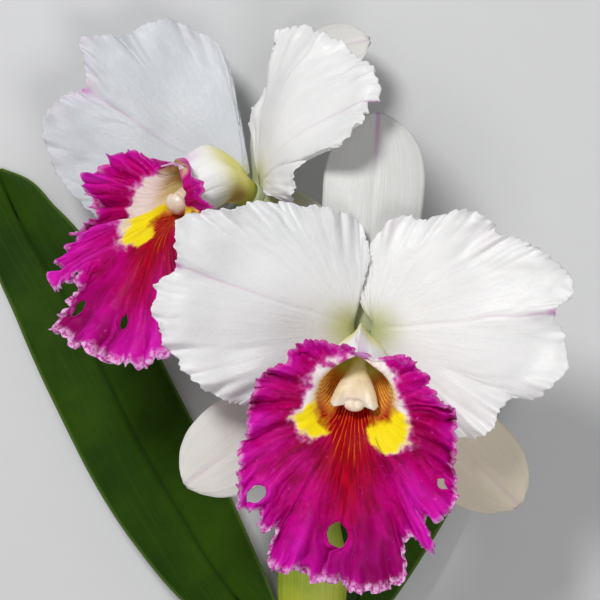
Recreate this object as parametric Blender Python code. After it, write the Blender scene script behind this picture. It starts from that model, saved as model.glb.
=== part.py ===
"""A cut flowering growth of a cattleya orchid, lying on a flat surface.

Lengths are in millimetres in the source and metres in the meshes. X points
right and Y up across the blooms' faces, Z is up from the surface. The origin
is on the flat spot under the pseudobulb.
"""
import bpy
import math
import numpy as np

MM = 0.001

# Thickness of the thin organs
PETAL_THICK = 0.8
SEPAL_THICK = 1.0
LIP_THICK = 0.8
LEAF_THICK = 2.2
SHEATH_THICK = 0.9
BRACT_THICK = 0.7
SEAT = 0.3

# Grid fineness of the thin organs: points along and across
PETAL_GRID = (7, 32)
SEPAL_GRID = (13, 6)
LEAF_GRID = (21, 7)
LIP_GRID = (9, 56)
SHEATH_GRID = (10, 16)

# The receptacle, the round end of the ovary that carries one bloom
RECEPTACLE_RADIUS = 5.0
RECEPTACLE_DEPTH = 4.5

# A petal's claw, and how its rows crowd towards the edge
CLAW_HALF = 2.4
PETAL_SPREAD = 0.8

# The lip's tube: height above the axis, distance along it and radius
TUBE_BASE = (0.0, 0.3, 4.3)
TUBE_NECK = (0.0, 8.0, 6.5)
TUBE_WAIST = (-3.0, 19.0, 10.0)
THROAT = (-14.0, 31.0, 13.6)
WAIST_LEAN = (0, 0.92, 0.39)

# The ridge along the tube's roof, where the lip's two edges lap
ROOF_RIDGE = 0.12
RIDGE_SPREAD = 28.0
SEAM_ANGLE = 93.0
LAP_ANGLE = 4.0
LAP_STEP = 0.8
LAP_SHARE = 0.12

# The lip from base to edge: where its stations sit in the rows, the reach
# over which its throat blends, and where its ruffles start and grow
LIP_STATIONS = [0, 0.14, 0.34, 0.56, 0.8, 1]
THROAT_BLEND = 10.0
BULGE_REACH = 30.0
RUFFLE_START = 0.5
RUFFLE_REACH = 14.0

# The column's middle line in the tube, its widths and depths along it, and
# the anther cap's distances and radii
COLUMN_LINE = [(0.0, 0.3), (-0.5, 10.0), (-5.0, 20.0), (-15.0, 28.5)]
COLUMN_WIDTHS = [(0, 3.0), (0.3, 3.2), (0.7, 5.6), (0.92, 7.9), (1, 7.0)]
COLUMN_DEPTHS = [(0, 2.9), (0.3, 2.9), (0.7, 3.1), (1, 2.0)]
COLUMN_RINGS = 8
COLUMN_SIDES = 16
CAP_PROFILE = [(0.0, 2.6), (0.9, 3.4), (2.0, 3.1), (3.0, 2.0), (3.5, 0.6)]
CAP_FLATNESS = 0.62
CAP_GAP = 0.4

# Where the two blooms stand and which way they face
FRONT_CENTRE = (11.7, 160.0, 88.0)
FRONT_AXIS = (-0.05, -0.12, 0.99)
FRONT_UP = (0.09, 0.985, 0.12)
BACK_CENTRE = (-28.0, 214.0, 49.0)
BACK_AXIS = (-0.695, 0.370, 0.620)
BACK_UP = (0.2765, 0.931, -0.246)

# The pseudobulb, along Y: place and radius, and the height of its middle line
BULB_HEIGHT = 9.8
APEX_RISE = 2.6
BULB_PROFILE = [(-46, 5.0), (-40, 7.5), (-25, 11.0), (-8, 11.6), (8, 10.6), (22, 9.0), (32, 8.5)]
APEX_Y = 32.0
BULB_BREADTH = 1.08
BULB_GRID = (12, 24)
GROOVES = 6
GROOVE_DEPTH = 0.035

# The papery bract wraps the pseudobulb from Y to Y; its half angle narrows
BRACT_FROM = -38.0
BRACT_TO = 6.0
BRACT_ANGLES = (125.0, 100.0)
BRACT_GRID = (5, 16)
BRACT_SWELL = 1.04
BRACT_GAP = 0.55

# Top of the peduncle, where the two pedicels sit side by side
NODE_CENTRE = (6.0, 122.0, 29.0)
NODE_RADIUS = 5.6
NODE_DEPTH = 3.4
PEDICEL_SPACING = 2.9
PEDICEL_GAP = 0.35
STEM_SIDES = 12
STEM_RINGS = 16

# A leaf's channel: how far its sides rise, its edges fall back and thin
LEAF_RISE = 3.2
LEAF_FALL = 1.2
LEAF_EDGE_THINNING = 0.5


def unit(v):
    v = np.asarray(v, float)
    return v / np.linalg.norm(v)


def smooth(xs, ys, x):
    """Read the smooth curve through the rows (xs, ys) at each x."""
    xs = np.asarray(xs, float)
    ys = np.asarray(ys, float)
    x = np.clip(np.asarray(x, float), xs[0], xs[-1])
    flat = ys.ndim == 1
    if flat:
        ys = ys[:, None]
    steps = np.diff(xs)[:, None]
    slopes = np.diff(ys, axis=0) / steps
    tangents = np.empty_like(ys)
    tangents[0] = slopes[0]
    tangents[-1] = slopes[-1]
    tangents[1:-1] = (slopes[:-1] * steps[1:] + slopes[1:] * steps[:-1]) / (steps[1:] + steps[:-1])
    i = np.clip(np.searchsorted(xs, x, side="right") - 1, 0, len(xs) - 2)
    h = (xs[i + 1] - xs[i])[..., None]
    u = (x - xs[i])[..., None] / h
    value = (
        (2 * u**3 - 3 * u**2 + 1) * ys[i]
        + (u**3 - 2 * u**2 + u) * h * tangents[i]
        + (3 * u**2 - 2 * u**3) * ys[i + 1]
        + (u**3 - u**2) * h * tangents[i + 1]
    )
    return value[..., 0] if flat else value


def curve(rows, x):
    """Read the smooth curve through (place, value) rows at each x."""
    return smooth([row[0] for row in rows], [row[1] for row in rows], x)


def along(points, count):
    """Points evenly spaced on the smooth curve through the given ones."""
    points = np.asarray(points, float)
    reach = np.concatenate([[0], np.cumsum(np.linalg.norm(np.diff(points, axis=0), axis=1))])
    return smooth(reach, points, np.linspace(0, reach[-1], count))


def material(name, colour, roughness):
    mat = bpy.data.materials.new(name)
    mat.use_nodes = True
    shader = mat.node_tree.nodes["Principled BSDF"]
    shader.inputs["Base Color"].default_value = (*colour, 1)
    shader.inputs["Roughness"].default_value = roughness
    shader.inputs["Metallic"].default_value = 0
    return mat


def add_mesh(name, verts, faces, look):
    """One object from vertices in millimetres, its triangles and its look."""
    mesh = bpy.data.meshes.new(name)
    mesh.from_pydata([tuple(v) for v in np.asarray(verts) * MM], [], faces)
    mesh.update()
    mesh.shade_smooth()
    mesh.set_sharp_from_angle(angle=math.radians(50))
    obj = bpy.data.objects.new(name, mesh)
    obj.data.materials.append(material(name, *look))
    bpy.context.scene.collection.objects.link(obj)
    return obj


def grid_normals(grid, closed=False):
    """Unit normals of a surface grid, from its neighbours' differences."""
    du = np.gradient(grid, axis=0)
    if closed:
        dv = (np.roll(grid, -1, axis=1) - np.roll(grid, 1, axis=1)) / 2
    else:
        dv = np.gradient(grid, axis=1)
    n = np.cross(du, dv)
    return n / np.maximum(np.linalg.norm(n, axis=2, keepdims=True), 1e-9)


def blade(name, grid, thickness, look, closed=False):
    """A thin closed solid around a surface grid, both faces split alike."""
    rows, cols = grid.shape[:2]
    half = np.broadcast_to(np.asarray(thickness, float), (rows, cols))[..., None] / 2
    normals = grid_normals(grid, closed)
    verts = np.concatenate([(grid + normals * half).reshape(-1, 3), (grid - normals * half).reshape(-1, 3)])
    back = rows * cols
    spans = cols if closed else cols - 1
    faces = []
    for i in range(rows - 1):
        for j in range(spans):
            a, b = i * cols + j, (i + 1) * cols + j
            c, d = (i + 1) * cols + (j + 1) % cols, i * cols + (j + 1) % cols
            faces += [(a, b, c), (a, c, d), (back + a, back + c, back + b), (back + a, back + d, back + c)]
    first = list(range(cols))
    last = [(rows - 1) * cols + j for j in range(cols)]
    if closed:
        rims = [first + first[:1], (last + last[:1])[::-1]]
    else:
        left = [i * cols for i in range(rows)]
        right = [i * cols + cols - 1 for i in range(rows)]
        rims = [first + right[1:] + last[::-1][1:] + left[::-1][1:]]
    for rim in rims:
        for a, b in zip(rim, rim[1:]):
            faces += [(a, b, back + b), (a, back + b, back + a)]
    return add_mesh(name, verts, faces, look)


def loft(name, rings, look):
    """A closed solid through rings of equal count, with filled ends."""
    rings = np.asarray(rings)
    count, sides = rings.shape[:2]
    verts = np.concatenate([rings.reshape(-1, 3), rings[0].mean(0)[None], rings[-1].mean(0)[None]])
    start, end = count * sides, count * sides + 1
    faces = []
    for i in range(count - 1):
        for j in range(sides):
            a, b = i * sides + j, i * sides + (j + 1) % sides
            c, d = (i + 1) * sides + (j + 1) % sides, (i + 1) * sides + j
            faces += [(a, b, c), (a, c, d)]
    for j in range(sides):
        k = (j + 1) % sides
        faces += [(start, k, j), (end, (count - 1) * sides + j, (count - 1) * sides + k)]
    return add_mesh(name, verts, faces, look)


def sweep_frames(path, side_hint):
    """Tangent, side and top directions along a path."""
    tangents = np.gradient(path, axis=0)
    tangents /= np.linalg.norm(tangents, axis=1, keepdims=True)
    sides = np.cross(tangents, side_hint)
    sides /= np.linalg.norm(sides, axis=1, keepdims=True)
    tops = np.cross(sides, tangents)
    return tangents, sides, tops


def tube_rings(path, widths, heights, sides, hint, start_normal=None, end_normal=None):
    """Elliptic rings across a path; end rings may lie in a given plane."""
    tangents, across, tops = sweep_frames(path, hint)
    angles = np.linspace(0, -2 * math.pi, sides, endpoint=False)
    rings = []
    for i, centre in enumerate(path):
        ring = (
            centre
            + np.outer(np.cos(angles) * widths[i], across[i])
            + np.outer(np.sin(angles) * heights[i], tops[i])
        )
        rings.append(ring)
    for index, normal in ((0, start_normal), (-1, end_normal)):
        if normal is not None:
            normal = unit(normal)
            slope = tangents[index] @ normal
            off = (rings[index] - path[index]) @ normal
            rings[index] = rings[index] - np.outer(off / slope, tangents[index])
    return rings


class Bloom:
    """Place and directions of one bloom: right, up and forward."""

    def __init__(self, centre, axis, up):
        self.centre = np.asarray(centre, float)
        self.axis = unit(axis)
        up = np.asarray(up, float)
        self.up = unit(up - (up @ self.axis) * self.axis)
        self.right = np.cross(self.up, self.axis)

    def point(self, right, up, axis):
        return self.centre + right * self.right + up * self.up + axis * self.axis

    def direction(self, right, up, axis):
        return unit(right * self.right + up * self.up + axis * self.axis)


def bent_sheet(base, start, end, across, length, s, t, h):
    """Points of a sheet whose midrib turns evenly from start to end direction.

    s runs along the midrib, t across it and h out of the sheet.
    """
    start, end = unit(start), unit(end)
    axis = unit(np.cross(start, end))
    across = axis * np.sign(axis @ np.asarray(across, float))
    turn = unit(end - (end @ start) * start)
    k = math.acos(float(start @ end)) / length
    spine = (np.sin(k * s) / k)[..., None] * start + ((1 - np.cos(k * s)) / k)[..., None] * turn
    heading = np.cos(k * s)[..., None] * start + np.sin(k * s)[..., None] * turn
    normal = np.cross(heading, across)
    return base + spine + t[..., None] * across + h[..., None] * normal


def petal_grid(bloom, spec, rows, cols):
    """A petal: straight veins fan from a narrow claw out to its edge."""
    edge = along(spec["edge"], cols)
    v = np.linspace(-1, 1, cols)
    claw = np.stack([np.full(cols, spec["claw"]), v * CLAW_HALF], axis=1)
    w = np.linspace(0, 1, rows)[:, None] ** PETAL_SPREAD
    st = claw[None] * (1 - w[..., None]) + edge[None] * w[..., None]
    ruffle = spec["ruffle"] * w**3 * np.sin(spec["waves"] * math.pi * v[None] + spec["phase"])
    dish = -spec["dish"] * w**2 * v[None] ** 2
    base = bloom.point(0, spec["lift"], spec["level"])
    return bent_sheet(
        base, spec["start"], spec["end"], spec["across"], spec["length"], st[..., 0], st[..., 1],
        spec["side"] * (ruffle + dish),
    )


def sepal_grid(bloom, spec, rows, cols):
    """A sepal: an oval strap on a route, its margins turned back."""
    route = along([bloom.point(*p) for p in spec["route"]], rows)
    _, across, tops = sweep_frames(route, bloom.axis)
    u = np.linspace(0, 1, rows)
    v = np.linspace(-1, 1, cols)[None]
    share = curve(SEPAL_PROFILE, u)[:, None]
    drop = -spec["turn_back"] * share * v**2
    reach = share * spec["width"] / 2 * v
    return route[:, None] + reach[..., None] * across[:, None] + drop[..., None] * tops[:, None]


def lip_grid(bloom, spec, rows, cols):
    """A lip: a tube round the column that flares into a ruffled blade."""
    turns = np.linspace(SEAM_ANGLE - LAP_ANGLE, SEAM_ANGLE + 360 + LAP_ANGLE, cols)
    phi = np.radians(turns)
    v = np.linspace(-1, 1, cols)
    lap = (np.clip((np.abs(v) - 1) / LAP_SHARE + 1, 0, 1) * np.sign(v) * LAP_STEP)[:, None]
    cos, sin = np.cos(phi)[:, None], np.sin(phi)[:, None]
    from_seam = (turns - SEAM_ANGLE + 180) % 360 - 180
    ridge = 1 + ROOF_RIDGE * np.exp(-(from_seam / RIDGE_SPREAD) ** 2)[:, None]
    flat = cos * bloom.right + sin * bloom.up
    lean = cos * bloom.right + sin * bloom.direction(*WAIST_LEAN)
    edge = smooth([p[0] for p in spec["edge"]], [p[1:] for p in spec["edge"]], turns)
    reach, depth = edge[:, :1], edge[:, 1:]
    throat = bloom.point(0, *THROAT[:2])
    mouth = np.minimum(THROAT[2], reach * 0.97)
    bulge = spec["bulge"] * np.clip((reach - mouth) / BULGE_REACH, 0, 1)
    level = depth * np.clip(1 - (reach - mouth) / THROAT_BLEND, 0, 1)
    stations = np.stack([
        bloom.point(0, *TUBE_BASE[:2]) + (TUBE_BASE[2] + lap * 0.5) * flat,
        bloom.point(0, *TUBE_NECK[:2]) + (TUBE_NECK[2] + lap) * ridge * flat,
        bloom.point(0, *TUBE_WAIST[:2]) + (TUBE_WAIST[2] + lap) * ridge * lean,
        throat + (mouth + lap) * flat + level * bloom.axis,
        throat + ((mouth + reach) / 2 + lap) * flat + (depth * 0.4 + bulge) * bloom.axis,
        throat + (reach + lap) * flat + depth * bloom.axis,
    ])
    w = np.linspace(0, 1, rows)
    grid = smooth(LIP_STATIONS, stations.reshape(len(stations), -1), w).reshape(rows, cols, 3)
    free = np.clip((w - RUFFLE_START) / (1 - RUFFLE_START), 0, 1)[:, None] ** 1.5
    room = np.clip((reach[:, 0] - THROAT[2]) / RUFFLE_REACH, 0, 1)[None]
    wave = np.sin(spec["waves"] * phi + spec["phase"])[None]
    return grid + (spec["ruffle"] * free * room * wave)[..., None] * bloom.axis


def leaf_grid(path, halves, rows, cols):
    """A leaf: a channelled strap along a route."""
    route = along(path, rows)
    _, across, tops = sweep_frames(route, np.array([0, 0, 1.0]))
    half = curve(halves, np.linspace(0, 1, rows))[:, None]
    v = np.linspace(-1, 1, cols)[None]
    rise = (LEAF_RISE * np.abs(v) ** 1.2 - LEAF_FALL * v**4) * half / half.max()
    return route[:, None] + (half * v)[..., None] * across[:, None] + rise[..., None] * tops[:, None]


FRONT = Bloom(FRONT_CENTRE, FRONT_AXIS, FRONT_UP)
BACK = Bloom(BACK_CENTRE, BACK_AXIS, BACK_UP)

WHITE = ((0.86, 0.85, 0.86), 0.5)
CREAM = ((0.80, 0.78, 0.70), 0.5)
MAGENTA = ((0.50, 0.0, 0.22), 0.45)
IVORY = ((0.80, 0.68, 0.50), 0.45)
PINKISH = ((0.85, 0.74, 0.68), 0.4)
STEM_GREEN = ((0.28, 0.38, 0.10), 0.5)
SHEATH_GREEN = ((0.42, 0.50, 0.14), 0.55)
LEAF_GREEN = ((0.03, 0.11, 0.02), 0.4)
BULB_GREEN = ((0.20, 0.30, 0.08), 0.5)
PAPER = ((0.55, 0.46, 0.30), 0.8)

# Petals: the edge runs from the lower to the upper end of the claw, as
# distances along the midrib and across it
PETALS = {
    "front_petal_left": (FRONT, dict(
        start=(-0.916, 0.322, 0.24), end=(-0.935, 0.328, 0.12), across=(0.331, 0.943, 0), length=72,
        claw=4.4, lift=5.0, level=-1.2, side=-1, ruffle=2.2, waves=7.5, phase=0.6, dish=1.5,
        edge=[(5, -9), (11, -20), (20, -31), (29.5, -37.5), (37, -39.5), (45, -37.5), (54, -34), (60.5, -30),
              (68.5, -23.5), (73, -16), (73.5, -9), (70, 0.5), (74, 7.5), (75, 14), (67.5, 20.5), (58, 25.5),
              (47.5, 31), (35.5, 34), (25, 36.5), (16, 36.5), (8.5, 30), (5, 15), (3.5, 6)])),
    "front_petal_right": (FRONT, dict(
        start=(0.973, 0.097, 0.208), end=(0.99, 0.099, 0.08), across=(-0.099, 0.995, 0), length=72,
        claw=4.4, lift=5.0, level=-1.2, side=1, ruffle=2.4, waves=8, phase=2.2, dish=1.5,
        edge=[(6, -6), (11, -18), (19, -31), (29.5, -40), (36.5, -41), (42, -39.5), (44.5, -34), (49.5, -29),
              (57, -29.5), (65.5, -24.5), (71, -17), (71, -11), (67.5, 0), (74.5, 5.5), (75.5, 11), (68, 19),
              (58, 26.5), (50.5, 29), (48, 34.5), (39, 38.5), (29, 37), (19, 38.5), (12, 36.5), (5.5, 31),
              (4.5, 15), (4.3, 6)])),
    "back_petal_left": (BACK, dict(
        start=(-0.712, 0.377, -0.519), end=(-0.866, 0.574, 0.043), across=(0.52, 0.80, -0.17), length=75,
        claw=5.3, lift=2.5, level=-1.5, side=-1, ruffle=2.0, waves=7, phase=0.0, dish=1.0,
        edge=[(6, -6), (12, -20), (22, -31), (35, -36), (48, -38), (59, -36), (71, -31), (80, -24.5),
              (84.5, -18), (83, -6), (78, 0), (84, 8.5), (90, 14), (86, 20), (76, 26.5), (72, 34), (67, 40),
              (57, 43.5), (46, 44), (37, 38), (30, 29), (20, 19.5), (11, 10.5), (6, 5)])),
    "back_petal_right": (BACK, dict(
        start=(0.092, 0.647, 0.759), end=(0.932, 0.328, 0.164), across=(-0.157, 0.760, -0.630), length=75,
        claw=5.8, lift=2.5, level=-3.6, side=-1, ruffle=1.8, waves=7, phase=0.4, dish=-1.0,
        edge=[(8, -6), (14, -15), (22, -25), (30, -29), (32, -22), (36, -17), (43, -17.5), (50, -22.5),
              (55, -24), (62, -22.5), (68, -15.5), (74, -8.5), (72, 5.5), (65, 19), (56, 33), (47, 43),
              (41, 45.5), (36, 39), (28, 31), (18, 29), (8, 30), (6, 24), (6, 8)])),
}

# Sepals: the midrib's route to the right, up and forward from the centre
SEPAL_PROFILE = [(0, 0.17), (0.1, 0.34), (0.25, 0.66), (0.42, 0.92), (0.6, 1.0), (0.75, 0.98), (0.86, 0.83),
                 (0.94, 0.55), (0.985, 0.25), (1, 0.08)]
SEPALS = {
    "front_dorsal_sepal": (FRONT, dict(
        width=35.5, turn_back=2.0,
        route=[(0, 5.4, -3.3), (-0.2, 15, -6.5), (-0.5, 32, -10), (-1, 56, -16.5), (-2, 79.5, -27)])),
    "front_sepal_left": (FRONT, dict(
        width=33, turn_back=2.0, route=[(-4.0, -3.8, -3.3), (-30, -31, -6), (-58, -58.5, -15)])),
    "front_sepal_right": (FRONT, dict(
        width=33, turn_back=2.0, route=[(4.1, -3.7, -3.3), (31, -28.5, -8), (61.5, -55, -20)])),
    "back_dorsal_sepal": (BACK, dict(
        width=30, turn_back=2.0,
        route=[(0, 5.4, -3.3), (-2, 25, -4), (-1, 45, -7), (5, 62, -12), (15, 71, -21)])),
    "back_sepal_left": (BACK, dict(
        width=29, turn_back=-2.0, route=[(-4.5, -3.1, -3.3), (-22, -26, -7), (-42, -52, -12)])),
    "back_sepal_right": (BACK, dict(
        width=31, turn_back=2.0,
        route=[(5.2, -1.6, -3.3), (13, -5.5, -9), (20, -15, -18.5), (25.5, -25, -30), (33, -35, -43)])),
}

# Lips: the edge gives, for each angle from the right counterclockwise, the
# reach from the throat's centre and the distance forward of it
LIPS = {
    "front_lip": (FRONT, dict(
        ruffle=2.6, waves=14, phase=0.3, bulge=2.0,
        edge=[(89, 14.5, 0), (112, 19, 2), (139, 27, 4), (159, 28, 5), (185, 36.5, 5), (200, 39, 6),
              (219, 48.5, 7), (229, 54, 8), (236, 52.5, 8), (250, 64, 8), (262, 64, 8), (275, 64.5, 7),
              (290, 63.5, 6), (297, 56, 6), (310, 49.5, 5), (322, 48, 5), (344, 38, 4), (360, 33, 3),
              (379, 26.5, 3), (409, 21.5, 2), (430, 20, 1), (449, 14.5, 0), (458, 14.5, 0)])),
    "back_lip": (BACK, dict(
        ruffle=2.4, waves=13, phase=1.4, bulge=2.0,
        edge=[(89, 7.5, 6.5), (112, 15, 5), (139, 27, 5), (155, 29, 8), (180, 36.5, 3), (210, 43, 6),
              (236, 55, 9), (252, 62, 8), (264, 64, 3), (277, 62, -5), (284, 55, -8), (295, 46, -9),
              (310, 36, -9), (325, 30, -7), (344, 24, -2), (360, 23, 0), (379, 21, 4), (405, 17, 3),
              (430, 13, 4), (449, 7.5, 6.5), (458, 7.5, 6.5)])),
}

# Leaves: route of the midrib and half widths along it
LEFT_LEAF_ROUTE = [(-4.6, 32.4, 9.0), (-12, 42, 11), (-26, 55, 12.5), (-41, 73, 12), (-55, 95, 10.5),
                   (-69, 119, 8.5), (-84, 148, 6), (-101, 180, 3.2), (-116, 205, 1.4), (-125, 225, 0.95)]
LEFT_LEAF_HALVES = [(0, 3.6), (0.08, 6.5), (0.2, 15), (0.35, 20.5), (0.55, 22), (0.75, 20.5), (0.9, 15.5),
                    (0.97, 9), (1, 2)]
RIGHT_LEAF_ROUTE = [(4.6, 32.4, 9.0), (8, 46, 11), (14, 69, 12), (29.5, 107, 9), (50, 146, 4.4),
                    (62, 168, 2.0), (71, 184, 0.95)]
RIGHT_LEAF_HALVES = [(0, 3.6), (0.1, 7), (0.25, 15), (0.45, 20.5), (0.65, 21), (0.82, 17.5), (0.94, 10),
                     (1, 2)]

# Stems: routes, with radii, or widths and heights, along them
FRONT_PEDICEL_ROUTE = [(10.2, 134, 39), (11, 146, 55)]
FRONT_PEDICEL_RADII = [(0, 2.4), (0.3, 2.3), (0.75, 3.6), (1, 4.2)]
BACK_PEDICEL_ROUTE = [(2, 142, 25), (5, 168, 20), (2, 190, 24), (-6, 201, 32)]
BACK_PEDICEL_RADII = [(0, 2.4), (0.3, 2.3), (0.75, 3.4), (1, 4.2)]
PEDICEL_START = 4.0
OVARY_NECK = 6.0
OVARY_SHOULDER = 0.8
PEDICEL_SIDE = (0.94, -0.33, 0.05)
PEDUNCLE_WIDTHS = [(0, 2.9), (0.1, 2.8), (0.85, 2.9), (1, NODE_RADIUS)]
PEDUNCLE_HEIGHTS = [(0, 2.9), (0.1, 2.8), (0.85, 2.8), (1, NODE_DEPTH)]
PEDUNCLE_ROUTE = [(0, 32.3, 16), (-3, 48, 17.5), (-5, 64, 19), (-3, 82, 21), (1, 102, 24.6), NODE_CENTRE]
SHEATH_ROUTE = [(0, 32.4, 16), (-3, 48, 17.5), (-5, 64, 19), (-4, 80, 21), (-1, 97, 24)]
SHEATH_WIDTHS = [(0, 4.4), (0.2, 7.5), (0.5, 12), (0.75, 11), (0.93, 7), (1, 5.4)]
SHEATH_HEIGHTS = [(0, 4.2), (0.2, 4.6), (0.5, 5), (0.75, 5), (0.93, 4.8), (1, 4.4)]


def add_petals():
    for name, (bloom, spec) in PETALS.items():
        blade(name, petal_grid(bloom, spec, *PETAL_GRID), PETAL_THICK, WHITE)


def add_sepals():
    for name, (bloom, spec) in SEPALS.items():
        blade(name, sepal_grid(bloom, spec, *SEPAL_GRID), SEPAL_THICK, CREAM)


def add_lips():
    for name, (bloom, spec) in LIPS.items():
        blade(name, lip_grid(bloom, spec, *LIP_GRID), LIP_THICK, MAGENTA)


def add_column(name, bloom):
    """The column: a fleshy arch that widens into two wings at its tip."""
    path = along([bloom.point(0, *p) for p in COLUMN_LINE], COLUMN_RINGS)
    u = np.linspace(0, 1, COLUMN_RINGS)
    rings = tube_rings(path, curve(COLUMN_WIDTHS, u), curve(COLUMN_DEPTHS, u), COLUMN_SIDES, bloom.up,
                       start_normal=bloom.axis)
    loft(name + "_column", rings, IVORY)
    heading = unit(path[-1] - path[-2])
    centre = path[-1] + heading * CAP_GAP
    cap_path = np.array([centre + heading * d for d, _ in CAP_PROFILE])
    radii = np.array([r for _, r in CAP_PROFILE])
    cap = tube_rings(cap_path, radii, radii * CAP_FLATNESS, STEM_SIDES, bloom.up)
    loft(name + "_anther_cap", cap, PINKISH)


def add_ovary(name, bloom, foot, heading, route, radii):
    """A pedicel and ovary, ending in the receptacle that carries the bloom."""
    neck = bloom.point(0, 0, -RECEPTACLE_DEPTH - OVARY_NECK)
    under = bloom.point(0, 0, -RECEPTACLE_DEPTH)
    shoulder = bloom.point(0, 0, -RECEPTACLE_DEPTH + OVARY_SHOULDER)
    stem = along([foot, foot + heading * PEDICEL_START, *route, neck, under], STEM_RINGS - 1)
    path = np.concatenate([stem, [shoulder, bloom.centre]])
    widths = curve(radii, np.linspace(0, 1, len(stem)))
    widths = np.concatenate([widths, [RECEPTACLE_RADIUS, RECEPTACLE_RADIUS]])
    rings = tube_rings(path, widths, widths, STEM_SIDES, np.array(PEDICEL_SIDE), heading, bloom.axis)
    loft(name + "_ovary", rings, STEM_GREEN)


def add_stems():
    """The peduncle, and the two pedicels side by side on its top."""
    route = along(PEDUNCLE_ROUTE, STEM_RINGS)
    heading = unit(route[-1] - route[-2])
    u = np.linspace(0, 1, STEM_RINGS)
    rings = tube_rings(route, curve(PEDUNCLE_WIDTHS, u), curve(PEDUNCLE_HEIGHTS, u), STEM_SIDES,
                       np.array([0, 0, 1.0]), start_normal=(0, 1, 0), end_normal=heading)
    loft("peduncle", rings, STEM_GREEN)
    side = unit(np.cross(heading, (0, 0, 1))) * PEDICEL_SPACING
    foot = np.array(NODE_CENTRE) + heading * PEDICEL_GAP
    add_ovary("front", FRONT, foot + side, heading, FRONT_PEDICEL_ROUTE, FRONT_PEDICEL_RADII)
    add_ovary("back", BACK, foot - side, heading, BACK_PEDICEL_ROUTE, BACK_PEDICEL_RADII)


def add_sheath():
    rows, cols = SHEATH_GRID
    path = along(SHEATH_ROUTE, rows)
    u = np.linspace(0, 1, rows)
    rings = tube_rings(path, curve(SHEATH_WIDTHS, u), curve(SHEATH_HEIGHTS, u), cols, np.array([0, 0, 1.0]),
                       start_normal=(0, 1, 0))
    blade("flower_sheath", np.array(rings)[:, ::-1], SHEATH_THICK, SHEATH_GREEN, closed=True)


def bulb_height(y):
    """Height of the pseudobulb's middle line, which rises towards its top."""
    foot = BULB_PROFILE[0][0]
    return BULB_HEIGHT + APEX_RISE * ((y - foot) / (APEX_Y - foot)) ** 2


def add_bulb():
    """The pseudobulb, grooved along its length and flat where it rests."""
    rows, sides = BULB_GRID
    angles = np.linspace(0, 2 * math.pi, sides, endpoint=False) + math.pi / sides
    rings = []
    for u, y in zip(np.linspace(0, 1, rows), np.linspace(BULB_PROFILE[0][0], APEX_Y, rows)):
        grooves = GROOVE_DEPTH * np.cos(angles * GROOVES) * math.sin(math.pi * u)
        radius = curve(BULB_PROFILE, y) * (1 + grooves)
        x = np.sin(angles) * radius * BULB_BREADTH
        z = bulb_height(y) + np.cos(angles) * radius
        rings.append(np.stack([x, np.full(sides, y), np.maximum(z, 0)], axis=1))
    loft("pseudobulb", rings, BULB_GREEN)


def add_bract():
    """The papery bract, a dry sheet round the pseudobulb's lower part."""
    rows, cols = BRACT_GRID
    bract = []
    for u, y in zip(np.linspace(0, 1, rows), np.linspace(BRACT_FROM, BRACT_TO, rows)):
        edge = math.radians(BRACT_ANGLES[0] * (1 - u) + BRACT_ANGLES[1] * u)
        swing = np.linspace(-edge, edge, cols)
        radius = curve(BULB_PROFILE, y) * BRACT_SWELL + BRACT_GAP + BRACT_THICK / 2
        x = np.sin(swing) * radius * BULB_BREADTH
        z = bulb_height(y) + np.cos(swing) * radius
        bract.append(np.stack([x, np.full(cols, y), z], axis=1))
    blade("papery_bract", np.array(bract), BRACT_THICK, PAPER)


def settle(obj):
    """Flatten a leaf where it rests, and cut its foot along the apex."""
    for vert in obj.data.vertices:
        vert.co.z = max(vert.co.z, 0.0)
        vert.co.y = max(vert.co.y, (APEX_Y + SEAT) * MM)
    obj.data.update()


def add_leaves():
    v = np.linspace(-1, 1, LEAF_GRID[1])[None]
    thick = LEAF_THICK * (1 - LEAF_EDGE_THINNING * np.abs(v) ** 3)
    for name, route, halves in (("leaf_left", LEFT_LEAF_ROUTE, LEFT_LEAF_HALVES),
                                ("leaf_right", RIGHT_LEAF_ROUTE, RIGHT_LEAF_HALVES)):
        settle(blade(name, leaf_grid(route, halves, *LEAF_GRID), thick, LEAF_GREEN))


def main():
    for obj in list(bpy.data.objects):
        bpy.data.objects.remove(obj)
    add_petals()
    add_sepals()
    add_lips()
    add_column("front", FRONT)
    add_column("back", BACK)
    add_stems()
    add_sheath()
    add_bulb()
    add_bract()
    add_leaves()


main()
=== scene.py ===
"""Looks of a cut cattleya growth with two blooms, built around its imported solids.

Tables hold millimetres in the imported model's frame: X right and Y up across
the blooms' faces, Z up from the surface. Meshes are in metres.
"""

import math
from types import SimpleNamespace

import bpy
import numpy as np
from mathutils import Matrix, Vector


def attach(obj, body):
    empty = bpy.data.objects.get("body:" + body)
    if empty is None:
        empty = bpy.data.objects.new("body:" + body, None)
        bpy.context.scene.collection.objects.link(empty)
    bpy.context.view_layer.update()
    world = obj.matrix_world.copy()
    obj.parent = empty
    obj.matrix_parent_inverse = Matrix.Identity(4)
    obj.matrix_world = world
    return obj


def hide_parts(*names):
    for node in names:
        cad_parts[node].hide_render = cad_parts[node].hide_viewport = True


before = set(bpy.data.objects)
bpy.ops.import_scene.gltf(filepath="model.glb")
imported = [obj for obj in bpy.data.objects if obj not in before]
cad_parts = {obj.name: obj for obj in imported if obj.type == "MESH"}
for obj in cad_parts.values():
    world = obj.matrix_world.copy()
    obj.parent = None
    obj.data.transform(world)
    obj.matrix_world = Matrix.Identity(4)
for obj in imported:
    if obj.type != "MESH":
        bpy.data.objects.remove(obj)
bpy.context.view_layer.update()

MM = 0.001
FULL_TURN = 2 * math.pi
UPWARDS = np.array([0, 0, 1.0])

# How many random values a curve and a surface are drawn through
CURVE_VALUES = 1024
SURFACE_VALUES = 256

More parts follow.
